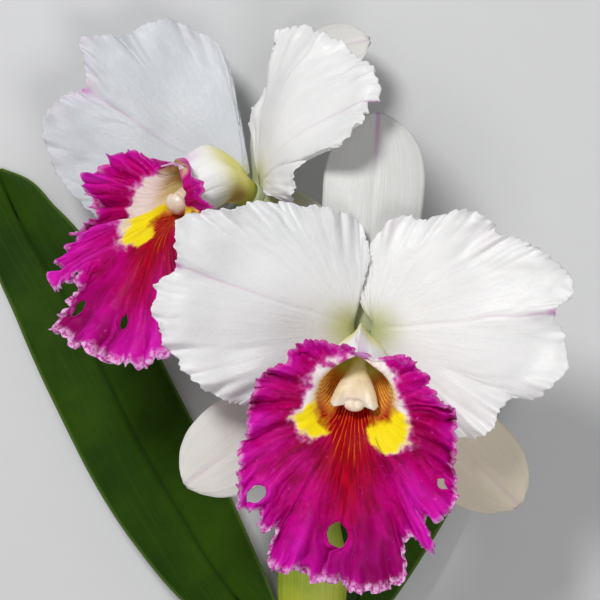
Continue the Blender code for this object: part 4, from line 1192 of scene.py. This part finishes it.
# The column's middle line: height above the bloom's axis and distance along it
COLUMN_LINE = [(0.0, 0.3), (-0.5, 10.0), (-5.0, 20.0), (-15.0, 28.5)]
COLUMNS = {
    "front": (FRONT, dict(
        widths=[(0, 3.0), (0.4, 2.5), (0.55, 2.6), (0.68, 3.6), (0.8, 5.6), (0.92, 8.1), (1, 9.2)],
        depths=[(0, 2.9), (0.3, 2.9), (0.7, 3.0), (0.9, 2.3), (1, 1.3)],
        tooth=3.8, hollow=2.3, cap=1.06, flat=0.66)),
    "back": (BACK, dict(
        widths=[(0, 3.0), (0.4, 2.5), (0.55, 2.7), (0.68, 3.5), (0.8, 4.6), (0.92, 5.3), (1, 5.0)],
        depths=[(0, 2.9), (0.3, 2.9), (0.7, 3.1), (0.9, 3.7), (1, 3.4)],
        tooth=1.0, hollow=0.4, cap=1.30, flat=0.95)),
}

# The two wing teeth at the column's end
TOOTH_PLACE, TOOTH_WIDTH = 0.80, 0.22
TOOTH_DIP = 0.6
WING_PINCH = -0.9

# The anther cap: distance from its back and radius, and its middle furrow
CAP_PROFILE = [(0.0, 2.6), (0.9, 3.4), (2.0, 3.1), (3.0, 2.0), (3.5, 0.6)]
CAP_LEAST = 0.3
CAP_GAP = 0.4
FURROW_DEPTH, FURROW_WIDTH = 0.35, 0.22
COARSE_POINTS = 8

COLUMN_IVORIES = (0.74, 0.60, 0.38), (0.82, 0.69, 0.48)
COLUMN_GREEN = (0.78, 0.76, 0.34)
COLUMN_TIP = (0.86, 0.66, 0.56)
CAP_IVORIES = (0.90, 0.72, 0.56), (0.94, 0.81, 0.67)
CAP_MAUVE = (0.46, 0.20, 0.36)
CAP_FURROW = (0.70, 0.50, 0.42)


def add_column(name, bloom, spec, look):
    """The column, a fleshy arch with two wing teeth."""
    path = along([bloom.point(0, *p) for p in COLUMN_LINE], COLUMN_RINGS)
    u = np.linspace(0, 1, COLUMN_RINGS)
    rings = tube_rings(path, curve(spec["widths"], u), curve(spec["depths"], u), COLUMN_SIDES, bloom.up,
                       start_normal=bloom.axis)
    angles = ring_angles(COLUMN_SIDES)
    wing = np.abs(np.cos(angles))
    late = step((u - 0.78) / 0.22)[:, None]
    _, across, tops = sweep_frames(path, bloom.up)
    hollow = spec["hollow"] * np.clip(-np.sin(angles), 0, 1) * step((u - 0.45) / 0.4)[:, None]
    tooth = late * (spec["tooth"] * bell(wing - TOOTH_PLACE, TOOTH_WIDTH) - TOOTH_DIP * (1 - wing))
    pinch = WING_PINCH * late * np.sign(np.cos(angles)) * wing**2
    rings = rings + hollow[..., None] * tops[:, None] + tooth[..., None] * unit(path[-1] - path[-2])
    rings = rings + pinch[..., None] * across[:, None]
    loft(name + "_column", look, rings, {"along": u[:, None]})


def add_cap(name, bloom, spec, look):
    """The anther cap between the column's teeth, furrowed along its middle."""
    end = along([bloom.point(0, *p) for p in COLUMN_LINE], COARSE_POINTS)
    heading = unit(end[-1] - end[-2])
    size = spec["cap"]
    places = np.linspace(0, CAP_PROFILE[-1][0], CAP_RINGS)
    radii = np.maximum(curve(CAP_PROFILE, places), CAP_LEAST) * size
    path = end[-1] + heading * CAP_GAP + np.outer(places * size, heading)
    angles = ring_angles(CAP_SIDES)
    furrow = bell(np.abs(np.cos(angles)), FURROW_WIDTH) * (np.sin(angles) > 0)
    _, _, tops = sweep_frames(path, bloom.up)
    rings = tube_rings(path, radii, radii * spec["flat"], CAP_SIDES, bloom.up)
    rings = rings - FURROW_DEPTH * furrow[None, :, None] * tops[:, None]
    facts = {"along": (places / places[-1])[:, None], "furrow": furrow}
    loft(name + "_anther_cap", look, rings, facts)


def column_look():
    look = Look("column_ivory", 0.38, (0.35, (1.0, 0.7, 0.4), 0.002))
    grow = look.fact("along")
    look.colour = look.between(look.grain(260.0, 3.0), 0.35, 0.65, COLUMN_IVORIES)
    look.tint(grow, 0.86, 0.56, COLUMN_GREEN)
    look.tint(grow, 0.9, 1.0, COLUMN_TIP, 0.4)
    return look.wear(look.bump(look.grain(1500.0), 0.00006, 0.6))


def cap_look():
    look = Look("anther_cap_pink", 0.32, (0.35, (1.0, 0.7, 0.6), 0.002))
    haze = look.grain(500.0, 3.0)
    look.colour = look.between(haze, 0.35, 0.65, CAP_IVORIES)
    back = look.ease(look.fact("along"), 0.30, 0.06)
    look.coat(look.times(back, look.ease(haze, 0.45, 0.62, 0.05, 0.4)), CAP_MAUVE)
    look.coat(look.times(look.fact("furrow"), 0.3), CAP_FURROW)
    return look.wear(look.bump(haze, 0.00008, 0.5))


# Stems

STEM_RINGS, STEM_SIDES = 90, 48

# The receptacle, the round end of the ovary that carries one bloom: share of
# its depth and radius
RECEPTACLE_DEPTH = 4.5
RECEPTACLE_PROFILE = [(0.08, 4.55), (0.18, 4.85), (0.4, 5.0), (0.7, 5.0), (0.94, 4.9), (1.0, 4.6)]

# Top of the peduncle, where the two pedicels sit side by side
NODE_CENTRE = (6.0, 122.0, 29.0)
NODE_RADIUS = 5.6
NODE_DEPTH = 3.4
PEDICEL_SPACING = 2.9
PEDICEL_GAP = 0.35
PEDICEL_START = 4.0
PEDICEL_SIDE = (0.94, -0.33, 0.05)
PEDICELS = {
    "front": (FRONT, dict(
        side=1, route=[(10.2, 134, 39), (11, 146, 55)], radii=[(0, 2.4), (0.3, 2.3), (0.75, 3.6), (1, 4.2)])),
    "back": (BACK, dict(
        side=-1, route=[(2, 142, 25), (5, 168, 20), (2, 190, 24), (-6, 201, 32)],
        radii=[(0, 2.4), (0.3, 2.3), (0.75, 3.4), (1, 4.2)])),
}
OVARY_NECK = 6.0
OVARY_RIBS = 6
OVARY_GROOVE = 0.075

PEDUNCLE_WIDTHS = [(0, 2.9), (0.1, 2.8), (0.85, 2.9), (1, NODE_RADIUS)]
PEDUNCLE_HEIGHTS = [(0, 2.9), (0.1, 2.8), (0.85, 2.8), (1, NODE_DEPTH)]
PEDUNCLE_ROUTE = [(0, 32.3, 16), (-3, 48, 17.5), (-5, 64, 19), (-3, 82, 21), (1, 102, 24.6), NODE_CENTRE]
PEDUNCLE_COARSE = 16

# Scars of the peduncle: place along it, height and width
SCARS = [(0.45, 0.22, 0.006), (0.78, 0.25, 0.006)]

STEM_GREENS = (0.17, 0.27, 0.05), (0.30, 0.40, 0.11)
STEM_MOTTLE = (0.42, 0.50, 0.20)
STEM_GROOVE = (0.12, 0.20, 0.04)
STEM_PALE = (0.60, 0.64, 0.40)


def add_ovary(name, foot, heading, look):
    """A pedicel that swells into a ribbed ovary, up to the bloom's receptacle."""
    bloom, spec = PEDICELS[name]
    neck = bloom.point(0, 0, -RECEPTACLE_DEPTH - OVARY_NECK)
    under = bloom.point(0, 0, -RECEPTACLE_DEPTH)
    stem = along([foot, foot + heading * PEDICEL_START, *spec["route"], neck, under], STEM_RINGS)
    shoulder = [bloom.point(0, 0, -RECEPTACLE_DEPTH * (1 - share)) for share, _ in RECEPTACLE_PROFILE]
    path = np.concatenate([stem, shoulder])
    u = np.linspace(0, 1, len(stem))
    widths = np.concatenate([curve(spec["radii"], u), [radius for _, radius in RECEPTACLE_PROFILE]])
    rings = tube_rings(path, widths, widths, STEM_SIDES, np.array(PEDICEL_SIDE), heading, bloom.axis)
    ribbed = np.concatenate([step((u - 0.45) / 0.3) * step((1 - u) / 0.06), np.zeros(len(shoulder))])[:, None]
    groove = ribbed * (0.5 - 0.5 * np.cos(OVARY_RIBS * ring_angles(STEM_SIDES))) ** 2
    rings = path[:, None] + (rings - path[:, None]) * (1 - OVARY_GROOVE * groove)[..., None]
    facts = {"along": np.concatenate([u, np.ones(len(shoulder))])[:, None], "groove": groove}
    loft(name + "_ovary", look, rings, facts)


def stem_look():
    look = Look("stem_green", 0.42, (0.12, (0.5, 0.8, 0.2), 0.001))
    mottle = look.grain(420.0, 3.0, stretch=(1, 0.35, 1))
    look.colour = look.between(look.grain(90.0), 0.35, 0.7, STEM_GREENS)
    look.tint(mottle, 0.5, 0.75, STEM_MOTTLE, 0.4)
    look.coat(look.times(look.fact("groove"), 0.4), STEM_GROOVE)
    look.tint(look.fact("along"), 0.93, 1.0, STEM_PALE, 0.75)
    return look.wear(look.bump(mottle, 0.00015, 0.6))


def add_stems():
    """The peduncle with its scars, and the two pedicels side by side on its top."""
    look = stem_look()
    route = along(PEDUNCLE_ROUTE, STEM_RINGS)
    coarse = along(PEDUNCLE_ROUTE, PEDUNCLE_COARSE)
    heading = unit(coarse[-1] - coarse[-2])
    u = np.linspace(0, 1, STEM_RINGS)
    scar = sum(height * bell(u - place, width) for place, height, width in SCARS)
    rings = tube_rings(route, curve(PEDUNCLE_WIDTHS, u) + scar, curve(PEDUNCLE_HEIGHTS, u) + scar, STEM_SIDES,
                       UPWARDS, start_normal=(0, 1, 0), end_normal=heading)
    facts = {"along": 0.5 * u[:, None], "groove": (scar * 3)[:, None]}
    loft("peduncle", look, rings, facts)
    foot = np.array(NODE_CENTRE) + heading * PEDICEL_GAP
    beside = unit(np.cross(heading, UPWARDS)) * PEDICEL_SPACING
    for name, (_, spec) in PEDICELS.items():
        add_ovary(name, foot + spec["side"] * beside, heading, look)


# Flower sheath

SHEATH_ROWS, SHEATH_COLS = 70, 88
SHEATH_DEPTH = 0.35
SHEATH_ROUTE = [(0, 32.4, 16), (-3, 48, 17.5), (-5, 64, 19), (-4, 80, 21), (-1, 97, 24)]
SHEATH_WIDTHS = [(0, 4.4), (0.2, 7.5), (0.5, 12), (0.75, 11), (0.93, 7), (1, 5.4)]
SHEATH_HEIGHTS = [(0, 4.2), (0.2, 4.6), (0.5, 5), (0.75, 5), (0.93, 4.8), (1, 4.4)]
SHEATH_KEEL, SHEATH_KEEL_WIDTH = 0.045, 0.02
SHEATH_VEIN, SHEATH_VEINS = 0.008, 22

# The tear at its top, as an angle round it, a width and a depth
TEAR_ANGLE, TEAR_WIDTH, TEAR_DEPTH = -4.7, 0.25, 2.2

SHEATH_GREENS = (0.20, 0.28, 0.006), (0.38, 0.42, 0.020)
SHEATH_LINES = (0.14, 0.20, 0.01), (0.42, 0.48, 0.10)
SHEATH_TIP = (0.36, 0.25, 0.09)
SHEATH_FOOT = (0.36, 0.34, 0.14)


def sheath_look():
    look = Look("sheath_green", 0.5, (0.15, (0.6, 0.8, 0.2), 0.001))
    grow, ring = look.facts("along", "ring")
    lines = look.streaks(ring, 26.0, grow, 2.0, 3.0)
    look.colour = look.between(look.grain(60.0, 3.0), 0.3, 0.7, SHEATH_GREENS)
    look.tint(lines, 0.5, 0.7, SHEATH_LINES[1], 0.4)
    look.tint(lines, 0.45, 0.3, SHEATH_LINES[0], 0.3)
    look.tint(grow, 0.93, 1.0, SHEATH_TIP, 0.8)
    look.tint(grow, 0.12, 0.0, SHEATH_FOOT, 0.6)
    return look.wear(look.bump(lines, 0.0004, 0.6))


def add_sheath():
    """The flower sheath: a flattened two-edged pouch, torn open at its top."""
    path = along(SHEATH_ROUTE, SHEATH_ROWS)
    u = np.linspace(0, 1, SHEATH_ROWS)
    angles = ring_angles(SHEATH_COLS)
    rings = tube_rings(path, curve(SHEATH_WIDTHS, u), curve(SHEATH_HEIGHTS, u), SHEATH_COLS, UPWARDS,
                       start_normal=(0, 1, 0))
    tangents, _, _ = sweep_frames(path, UPWARDS)
    keel = 1 + SHEATH_KEEL * bell(1 - np.abs(np.cos(angles)), SHEATH_KEEL_WIDTH) * step(u * 4)[:, None]
    veins = 1 + SHEATH_VEIN * np.sin(angles * SHEATH_VEINS) * step(u * 5)[:, None]
    rings = path[:, None] + (rings - path[:, None]) * (keel * veins)[..., None]
    torn = 1.3 * wander(angles * 2.1 + 20, 5) + 0.5 * wander(angles * 9 + 90, 6)
    torn = torn - TEAR_DEPTH * bell(angles - TEAR_ANGLE, TEAR_WIDTH)
    rings = rings + (step((u - 0.8) / 0.2)[:, None] * torn)[..., None] * tangents[:, None]
    facts = {"along": u[:, None], "ring": np.sin(angles)[::-1]}
    blade("flower_sheath", sheath_look(), rings[:, ::-1], SHEATH_DEPTH, SHEATH_DEPTH, facts,
          closed=True)


# Pseudobulb and its papery bract

BULB_RINGS, BULB_SIDES = 96, 120
BRACT_ROWS, BRACT_COLS = 60, 100

# The pseudobulb, along Y: place and radius, and the height of its middle line
BULB_PROFILE = [(-46, 5.0), (-40, 7.5), (-25, 11.0), (-8, 11.6), (8, 10.6), (22, 9.0), (32, 8.5)]
BULB_FOOT = BULB_PROFILE[0][0]
APEX_Y = 32.0
BULB_HEIGHT = 9.8
APEX_RISE = 2.6
BULB_BREADTH = 1.08
BULB_SCARS = [(0.62, 0.02, 0.006), (0.985, 0.02, 0.006)]
GROOVES = 6
GROOVE_DEPTH = 0.035
FINE_GROOVES = 46

# The papery bract wraps the pseudobulb from Y to Y; its half angle narrows
BRACT_FROM = -38.0
BRACT_TO = 6.0
BRACT_ANGLES = (125.0, 100.0)
BRACT_SWELL = 1.04
BRACT_GAP = 0.9
BRACT_CLEAR = 0.1
BRACT_LOWEST = 0.3
BRACT_DEPTH = 0.18

BULB_GREENS = (0.11, 0.19, 0.03), (0.25, 0.32, 0.07)
BULB_FURROW = (0.09, 0.14, 0.03)
BULB_FIBRE = (0.36, 0.38, 0.16)
BULB_CUT = (0.30, 0.20, 0.09)
BRACT_PAPERS = (0.34, 0.25, 0.13), (0.66, 0.57, 0.40)
BRACT_STAIN = (0.16, 0.09, 0.04)


def bulb_height(y):
    """Height of the pseudobulb's middle line, which rises towards its top."""
    return BULB_HEIGHT + APEX_RISE * ((y - BULB_FOOT) / (APEX_Y - BULB_FOOT)) ** 2


def round_bulb(y, angles, radius):
    """Points round the pseudobulb's middle line, angles counted from its top."""
    x, z = np.sin(angles) * radius * BULB_BREADTH, bulb_height(y) + np.cos(angles) * radius
    return x, np.broadcast_to(y, x.shape), z


def bulb_look():
    look = Look("pseudobulb_green", 0.4, (0.08, (0.5, 0.8, 0.2), 0.001))
    fibres = look.grain(700.0, 3.0, stretch=(1, 0.06, 1))
    look.colour = look.between(look.grain(110.0, 3.0, stretch=(1, 0.5, 1)), 0.35, 0.65, BULB_GREENS)
    look.tint(look.fact("furrow"), 0.3, -1.0, BULB_FURROW, 0.5)
    look.tint(fibres, 0.55, 0.75, BULB_FIBRE, 0.5)
    look.tint(look.fact("along"), 0.14, 0.0, BULB_CUT)
    return look.wear(look.bump(fibres, 0.0002, 0.6))


def add_bulb():
    """The pseudobulb, furrowed along its length and flat where it rests."""
    angles = np.linspace(0, FULL_TURN, BULB_SIDES, endpoint=False)
    u = np.linspace(0, 1, BULB_RINGS)[:, None]
    y = BULB_FOOT + (APEX_Y - BULB_FOOT) * u
    bow = np.sin(math.pi * u)
    furrow = GROOVE_DEPTH * np.cos(angles * GROOVES) * bow
    wrinkle = 0.012 * bow * wander2(np.cos(angles) * 7 + 20, np.sin(angles) * 7 + 20 + 0.6 * u, 7)
    fine = 0.005 * bow * np.sin(angles * FINE_GROOVES + 2 * wander(u * 9, 8))
    scar = sum(depth * bell(u - place, width) for place, depth, width in BULB_SCARS)
    radius = curve(BULB_PROFILE, y[:, 0])[:, None] * (1 + furrow + wrinkle + fine - scar)
    x, y, z = round_bulb(y, angles, radius)
    facts = {"furrow": furrow / GROOVE_DEPTH + 20 * fine, "along": u}
    rings = np.stack([x, y, np.maximum(z, 0)], axis=-1)
    loft("pseudobulb", bulb_look(), rings, facts)


def bract_look():
    look = Look("bract_paper", 0.75, (0.1, (1.0, 0.7, 0.4), 0.0008))
    fibres = look.grain(900.0, 4.0, 0.6, stretch=(1, 0.05, 1))
    look.colour = look.between(fibres, 0.35, 0.65, BRACT_PAPERS)
    look.tint(look.grain(130.0, 4.0), 0.58, 0.72, BRACT_STAIN, 0.7)
    return look.wear(look.bump(fibres, 0.0003, 0.9))


def add_bract():
    """The papery bract, a dry torn sheet round the pseudobulb's lower part."""
    v = np.linspace(-1, 1, BRACT_COLS)
    u = np.linspace(0, 1, BRACT_ROWS)[:, None]
    edge = np.radians(BRACT_ANGLES[0] * (1 - u) + BRACT_ANGLES[1] * u)
    swing = edge * v * (1 - 0.03 * wander(u * 11, 31))
    torn = (3.0 * wander(v * 7 + 30, 32) + 1.2 * wander(v * 26 + 60, 33) - 1.5) * step((u - 0.35) / 0.65)
    y = np.clip(BRACT_FROM + (BRACT_TO - BRACT_FROM) * u + torn, BRACT_FROM, BRACT_TO)
    crumple = 0.16 * wander(v * 40, 34) + 0.3 * step(u * 3 - 2) * wander(v * 12 + 5, 35)
    bulb = curve(BULB_PROFILE, y.ravel()).reshape(y.shape)
    x, y, z = round_bulb(y, swing, bulb * BRACT_SWELL + BRACT_GAP + crumple + BRACT_CLEAR)
    grid = np.stack([x, y, np.maximum(z, BRACT_LOWEST)], axis=-1)
    blade("papery_bract", bract_look(), grid, BRACT_DEPTH, BRACT_DEPTH, {}, facing=UPWARDS)


# Leaves

LEAF_ROWS, LEAF_COLS = 120, 48

# A leaf's channel: how far its sides rise and its edges fall back
LEAF_RISE = 3.2
LEAF_FALL = 1.2
LEAF_THICK = 2.2
LEAF_EDGE_CUT = 0.62
LEAF_KEEL, LEAF_KEEL_WIDTH = 0.7, 1.6
LEAF_GROOVE, LEAF_GROOVE_WIDTH = -0.5, 0.8

# Where the leaves start, a seat away from the pseudobulb's top
LEAF_START = APEX_Y + 0.3

# Route of the midrib and half widths along it
LEAVES = {
    "leaf_left": dict(
        seed=41,
        route=[(-4.6, 32.4, 9.0), (-12, 42, 11), (-26, 55, 12.5), (-41, 73, 12), (-55, 95, 10.5),
               (-69, 119, 8.5), (-84, 148, 6), (-101, 180, 3.2), (-116, 205, 1.4), (-125, 225, 0.95)],
        halves=[(0, 3.6), (0.08, 6.5), (0.2, 15), (0.35, 20.5), (0.55, 22), (0.75, 20.2), (0.9, 14.9),
                (0.97, 9), (1, 2)]),
    "leaf_right": dict(
        seed=47,
        route=[(4.6, 32.4, 9.0), (8, 46, 11), (14, 69, 12), (29.5, 107, 9), (50, 146, 4.4),
               (62, 168, 2.0), (71, 184, 0.95)],
        halves=[(0, 3.6), (0.1, 7), (0.25, 15), (0.45, 20.5), (0.65, 21), (0.82, 17.5), (0.94, 10), (1, 2)]),
}

LEAF_GREENS = (0.011, 0.036, 0.001), (0.026, 0.066, 0.001)
LEAF_LINE = (0.030, 0.074, 0.006)
LEAF_MOTTLE = (0.014, 0.040, 0.003)
LEAF_RIB = (0.008, 0.016, 0.004)
LEAF_RIM = (0.10, 0.17, 0.035)
LEAF_BACKS = (0.055, 0.12, 0.03), (0.085, 0.16, 0.045)
LEAF_BACK_RIB = (0.13, 0.21, 0.07)


def leaf_surface(spec):
    """A leaf's grid and facts: a channelled strap along a route."""
    route = along(spec["route"], LEAF_ROWS)
    _, across, tops = sweep_frames(route, UPWARDS)
    u = np.linspace(0, 1, LEAF_ROWS)[:, None]
    v = np.linspace(-1, 1, LEAF_COLS)[None]
    half = curve(spec["halves"], u[:, 0])[:, None]
    rise = (LEAF_RISE * np.abs(v) ** 1.2 - LEAF_FALL * v**4) * half / half.max()
    groove = LEAF_GROOVE * bell(v * half, LEAF_GROOVE_WIDTH) * step(u * 5)
    wave = 0.35 * wander(u * 6, spec["seed"]) * v**2 * np.sign(v) + 0.012 * wander(v * 24, spec["seed"] + 1)
    lift = rise + groove + wave
    grid = route[:, None] + (half * v)[..., None] * across[:, None] + lift[..., None] * tops[:, None]
    facts = {"along": arc_length(route)[:, None], "rib": np.abs(v * half), "rim": half * (1 - np.abs(v)),
             "across": v * half}
    return grid, facts


def leaf_look():
    look = Look("leaf_green", 0.45, (0.03, (0.3, 0.6, 0.1), 0.0008), Specular_IOR_Level=0.06)
    reach, rib, rim, across = look.facts("along", "rib", "rim", "across")
    lines = look.streaks(reach, 0.018, across, 0.9, 3.0)
    mottle, cells = look.grain(160.0, 4.0, 0.6), look.grain(1800.0)
    look.colour = look.between(lines, 0.4, 0.65, LEAF_BACKS)
    look.tint(rib, 1.8, 0.2, LEAF_BACK_RIB, 0.6)
    below = look.colour
    look.colour = look.between(look.grain(30.0, 3.0), 0.3, 0.7, LEAF_GREENS)
    look.tint(lines, 0.48, 0.7, LEAF_LINE, 0.35)
    look.tint(mottle, 0.5, 0.72, LEAF_MOTTLE, 0.4)
    look.tint(rib, 1.6, 0.2, LEAF_RIB, 0.55)
    look.tint(rim, 1.6, 0.1, LEAF_RIM, 0.8)
    look.coat(look.fact("side"), below)
    relief = look.plus(lines, look.times(mottle, 0.4))
    normal = look.bump(cells, 0.00004, 0.5, look.bump(relief, 0.00012, 0.4))
    return look.wear(normal, look.ease(mottle, 0.3, 0.7, 0.40, 0.55))


def add_leaves():
    look = leaf_look()
    for name, spec in LEAVES.items():
        grid, facts = leaf_surface(spec)
        share = facts["rim"] / np.maximum(facts["rim"] + facts["rib"], 0.1)
        depth = LEAF_THICK / 2 * (1 - LEAF_EDGE_CUT * (1 - share) ** 4)
        keel = LEAF_KEEL * bell(facts["rib"], LEAF_KEEL_WIDTH)
        leaf = blade(name, look, grid, depth, depth + keel, facts, facing=UPWARDS)
        for vert in leaf.data.vertices:
            vert.co.z = max(vert.co.z, 0.0)
            vert.co.y = max(vert.co.y, LEAF_START * MM)


# Surroundings

# The photograph's camera: place in millimetres, and focal length on its sensor
CAMERA_PLACE = (-9.5, 175.6, 990.0)
CAMERA_LENS = 155.64
CAMERA_SENSOR = 36.0
CAMERA_END = 50

# Floor and lights, in metres and watts; the lights face the subject
FLOOR_SIZE = 12.0
FLOOR_GREYS = (0.66, 0.66, 0.665), (0.68, 0.68, 0.685)
LIGHTS = {
    "key": ((-0.46, 0.88, 1.22), 0.36, 13.0),
    "fill": ((0.36, -0.42, 1.32), 0.7, 5.6),
}
SUBJECT = (-0.01, 0.16, 0.05)
SKY_COLOUR = (0.96, 0.98, 1.0, 1)
SKY_LIGHT = 0.25


def place_object(name, data):
    obj = bpy.data.objects.new(name, data)
    bpy.context.scene.collection.objects.link(obj)
    return obj


def add_floor():
    mesh = bpy.data.meshes.new("floor")
    half = FLOOR_SIZE / 2
    corners = [(-half, -half, 0), (half, -half, 0), (half, half, 0), (-half, half, 0)]
    mesh.from_pydata(corners, [], [(0, 1, 2, 3)])
    look = Look("floor_grey", 0.8)
    look.colour = look.mix(look.grain(60.0), *FLOOR_GREYS)
    mesh.materials.append(look.wear())
    floor = place_object("floor", mesh)


def add_light(name, place, size, power):
    light = bpy.data.lights.new(name, "AREA")
    light.shape = "DISK"
    light.size = size
    light.energy = power
    obj = place_object(name, light)
    obj.location = place
    obj.rotation_mode = "QUATERNION"
    obj.rotation_quaternion = Vector(unit(np.subtract(place, SUBJECT))).to_track_quat("Z", "Y")
    obj.visible_camera = False


def add_camera():
    camera = bpy.data.cameras.new("photo_camera")
    camera.lens = CAMERA_LENS
    camera.sensor_width = CAMERA_SENSOR
    camera.clip_end = CAMERA_END
    obj = place_object("photo_camera", camera)
    obj.location = [c * MM for c in CAMERA_PLACE]
    bpy.context.scene.camera = obj


def add_world():
    world = bpy.data.worlds.new("soft_sky")
    world.use_nodes = True
    sky = world.node_tree.nodes["Background"]
    sky.inputs["Color"].default_value = SKY_COLOUR
    sky.inputs["Strength"].default_value = SKY_LIGHT
    bpy.context.scene.world = world


def main():
    add_camera()
    add_world()
    for name, settings in LIGHTS.items():
        add_light(name, *settings)
    add_floor()
    add_petals()
    add_sepals()
    add_lips()
    flesh, cap = column_look(), cap_look()
    for name, (bloom, spec) in COLUMNS.items():
        add_column(name, bloom, spec, flesh)
        add_cap(name, bloom, spec, cap)
    add_stems()
    add_sheath()
    add_bulb()
    add_bract()
    add_leaves()
    bpy.context.scene.view_settings.view_transform = "Standard"


main()
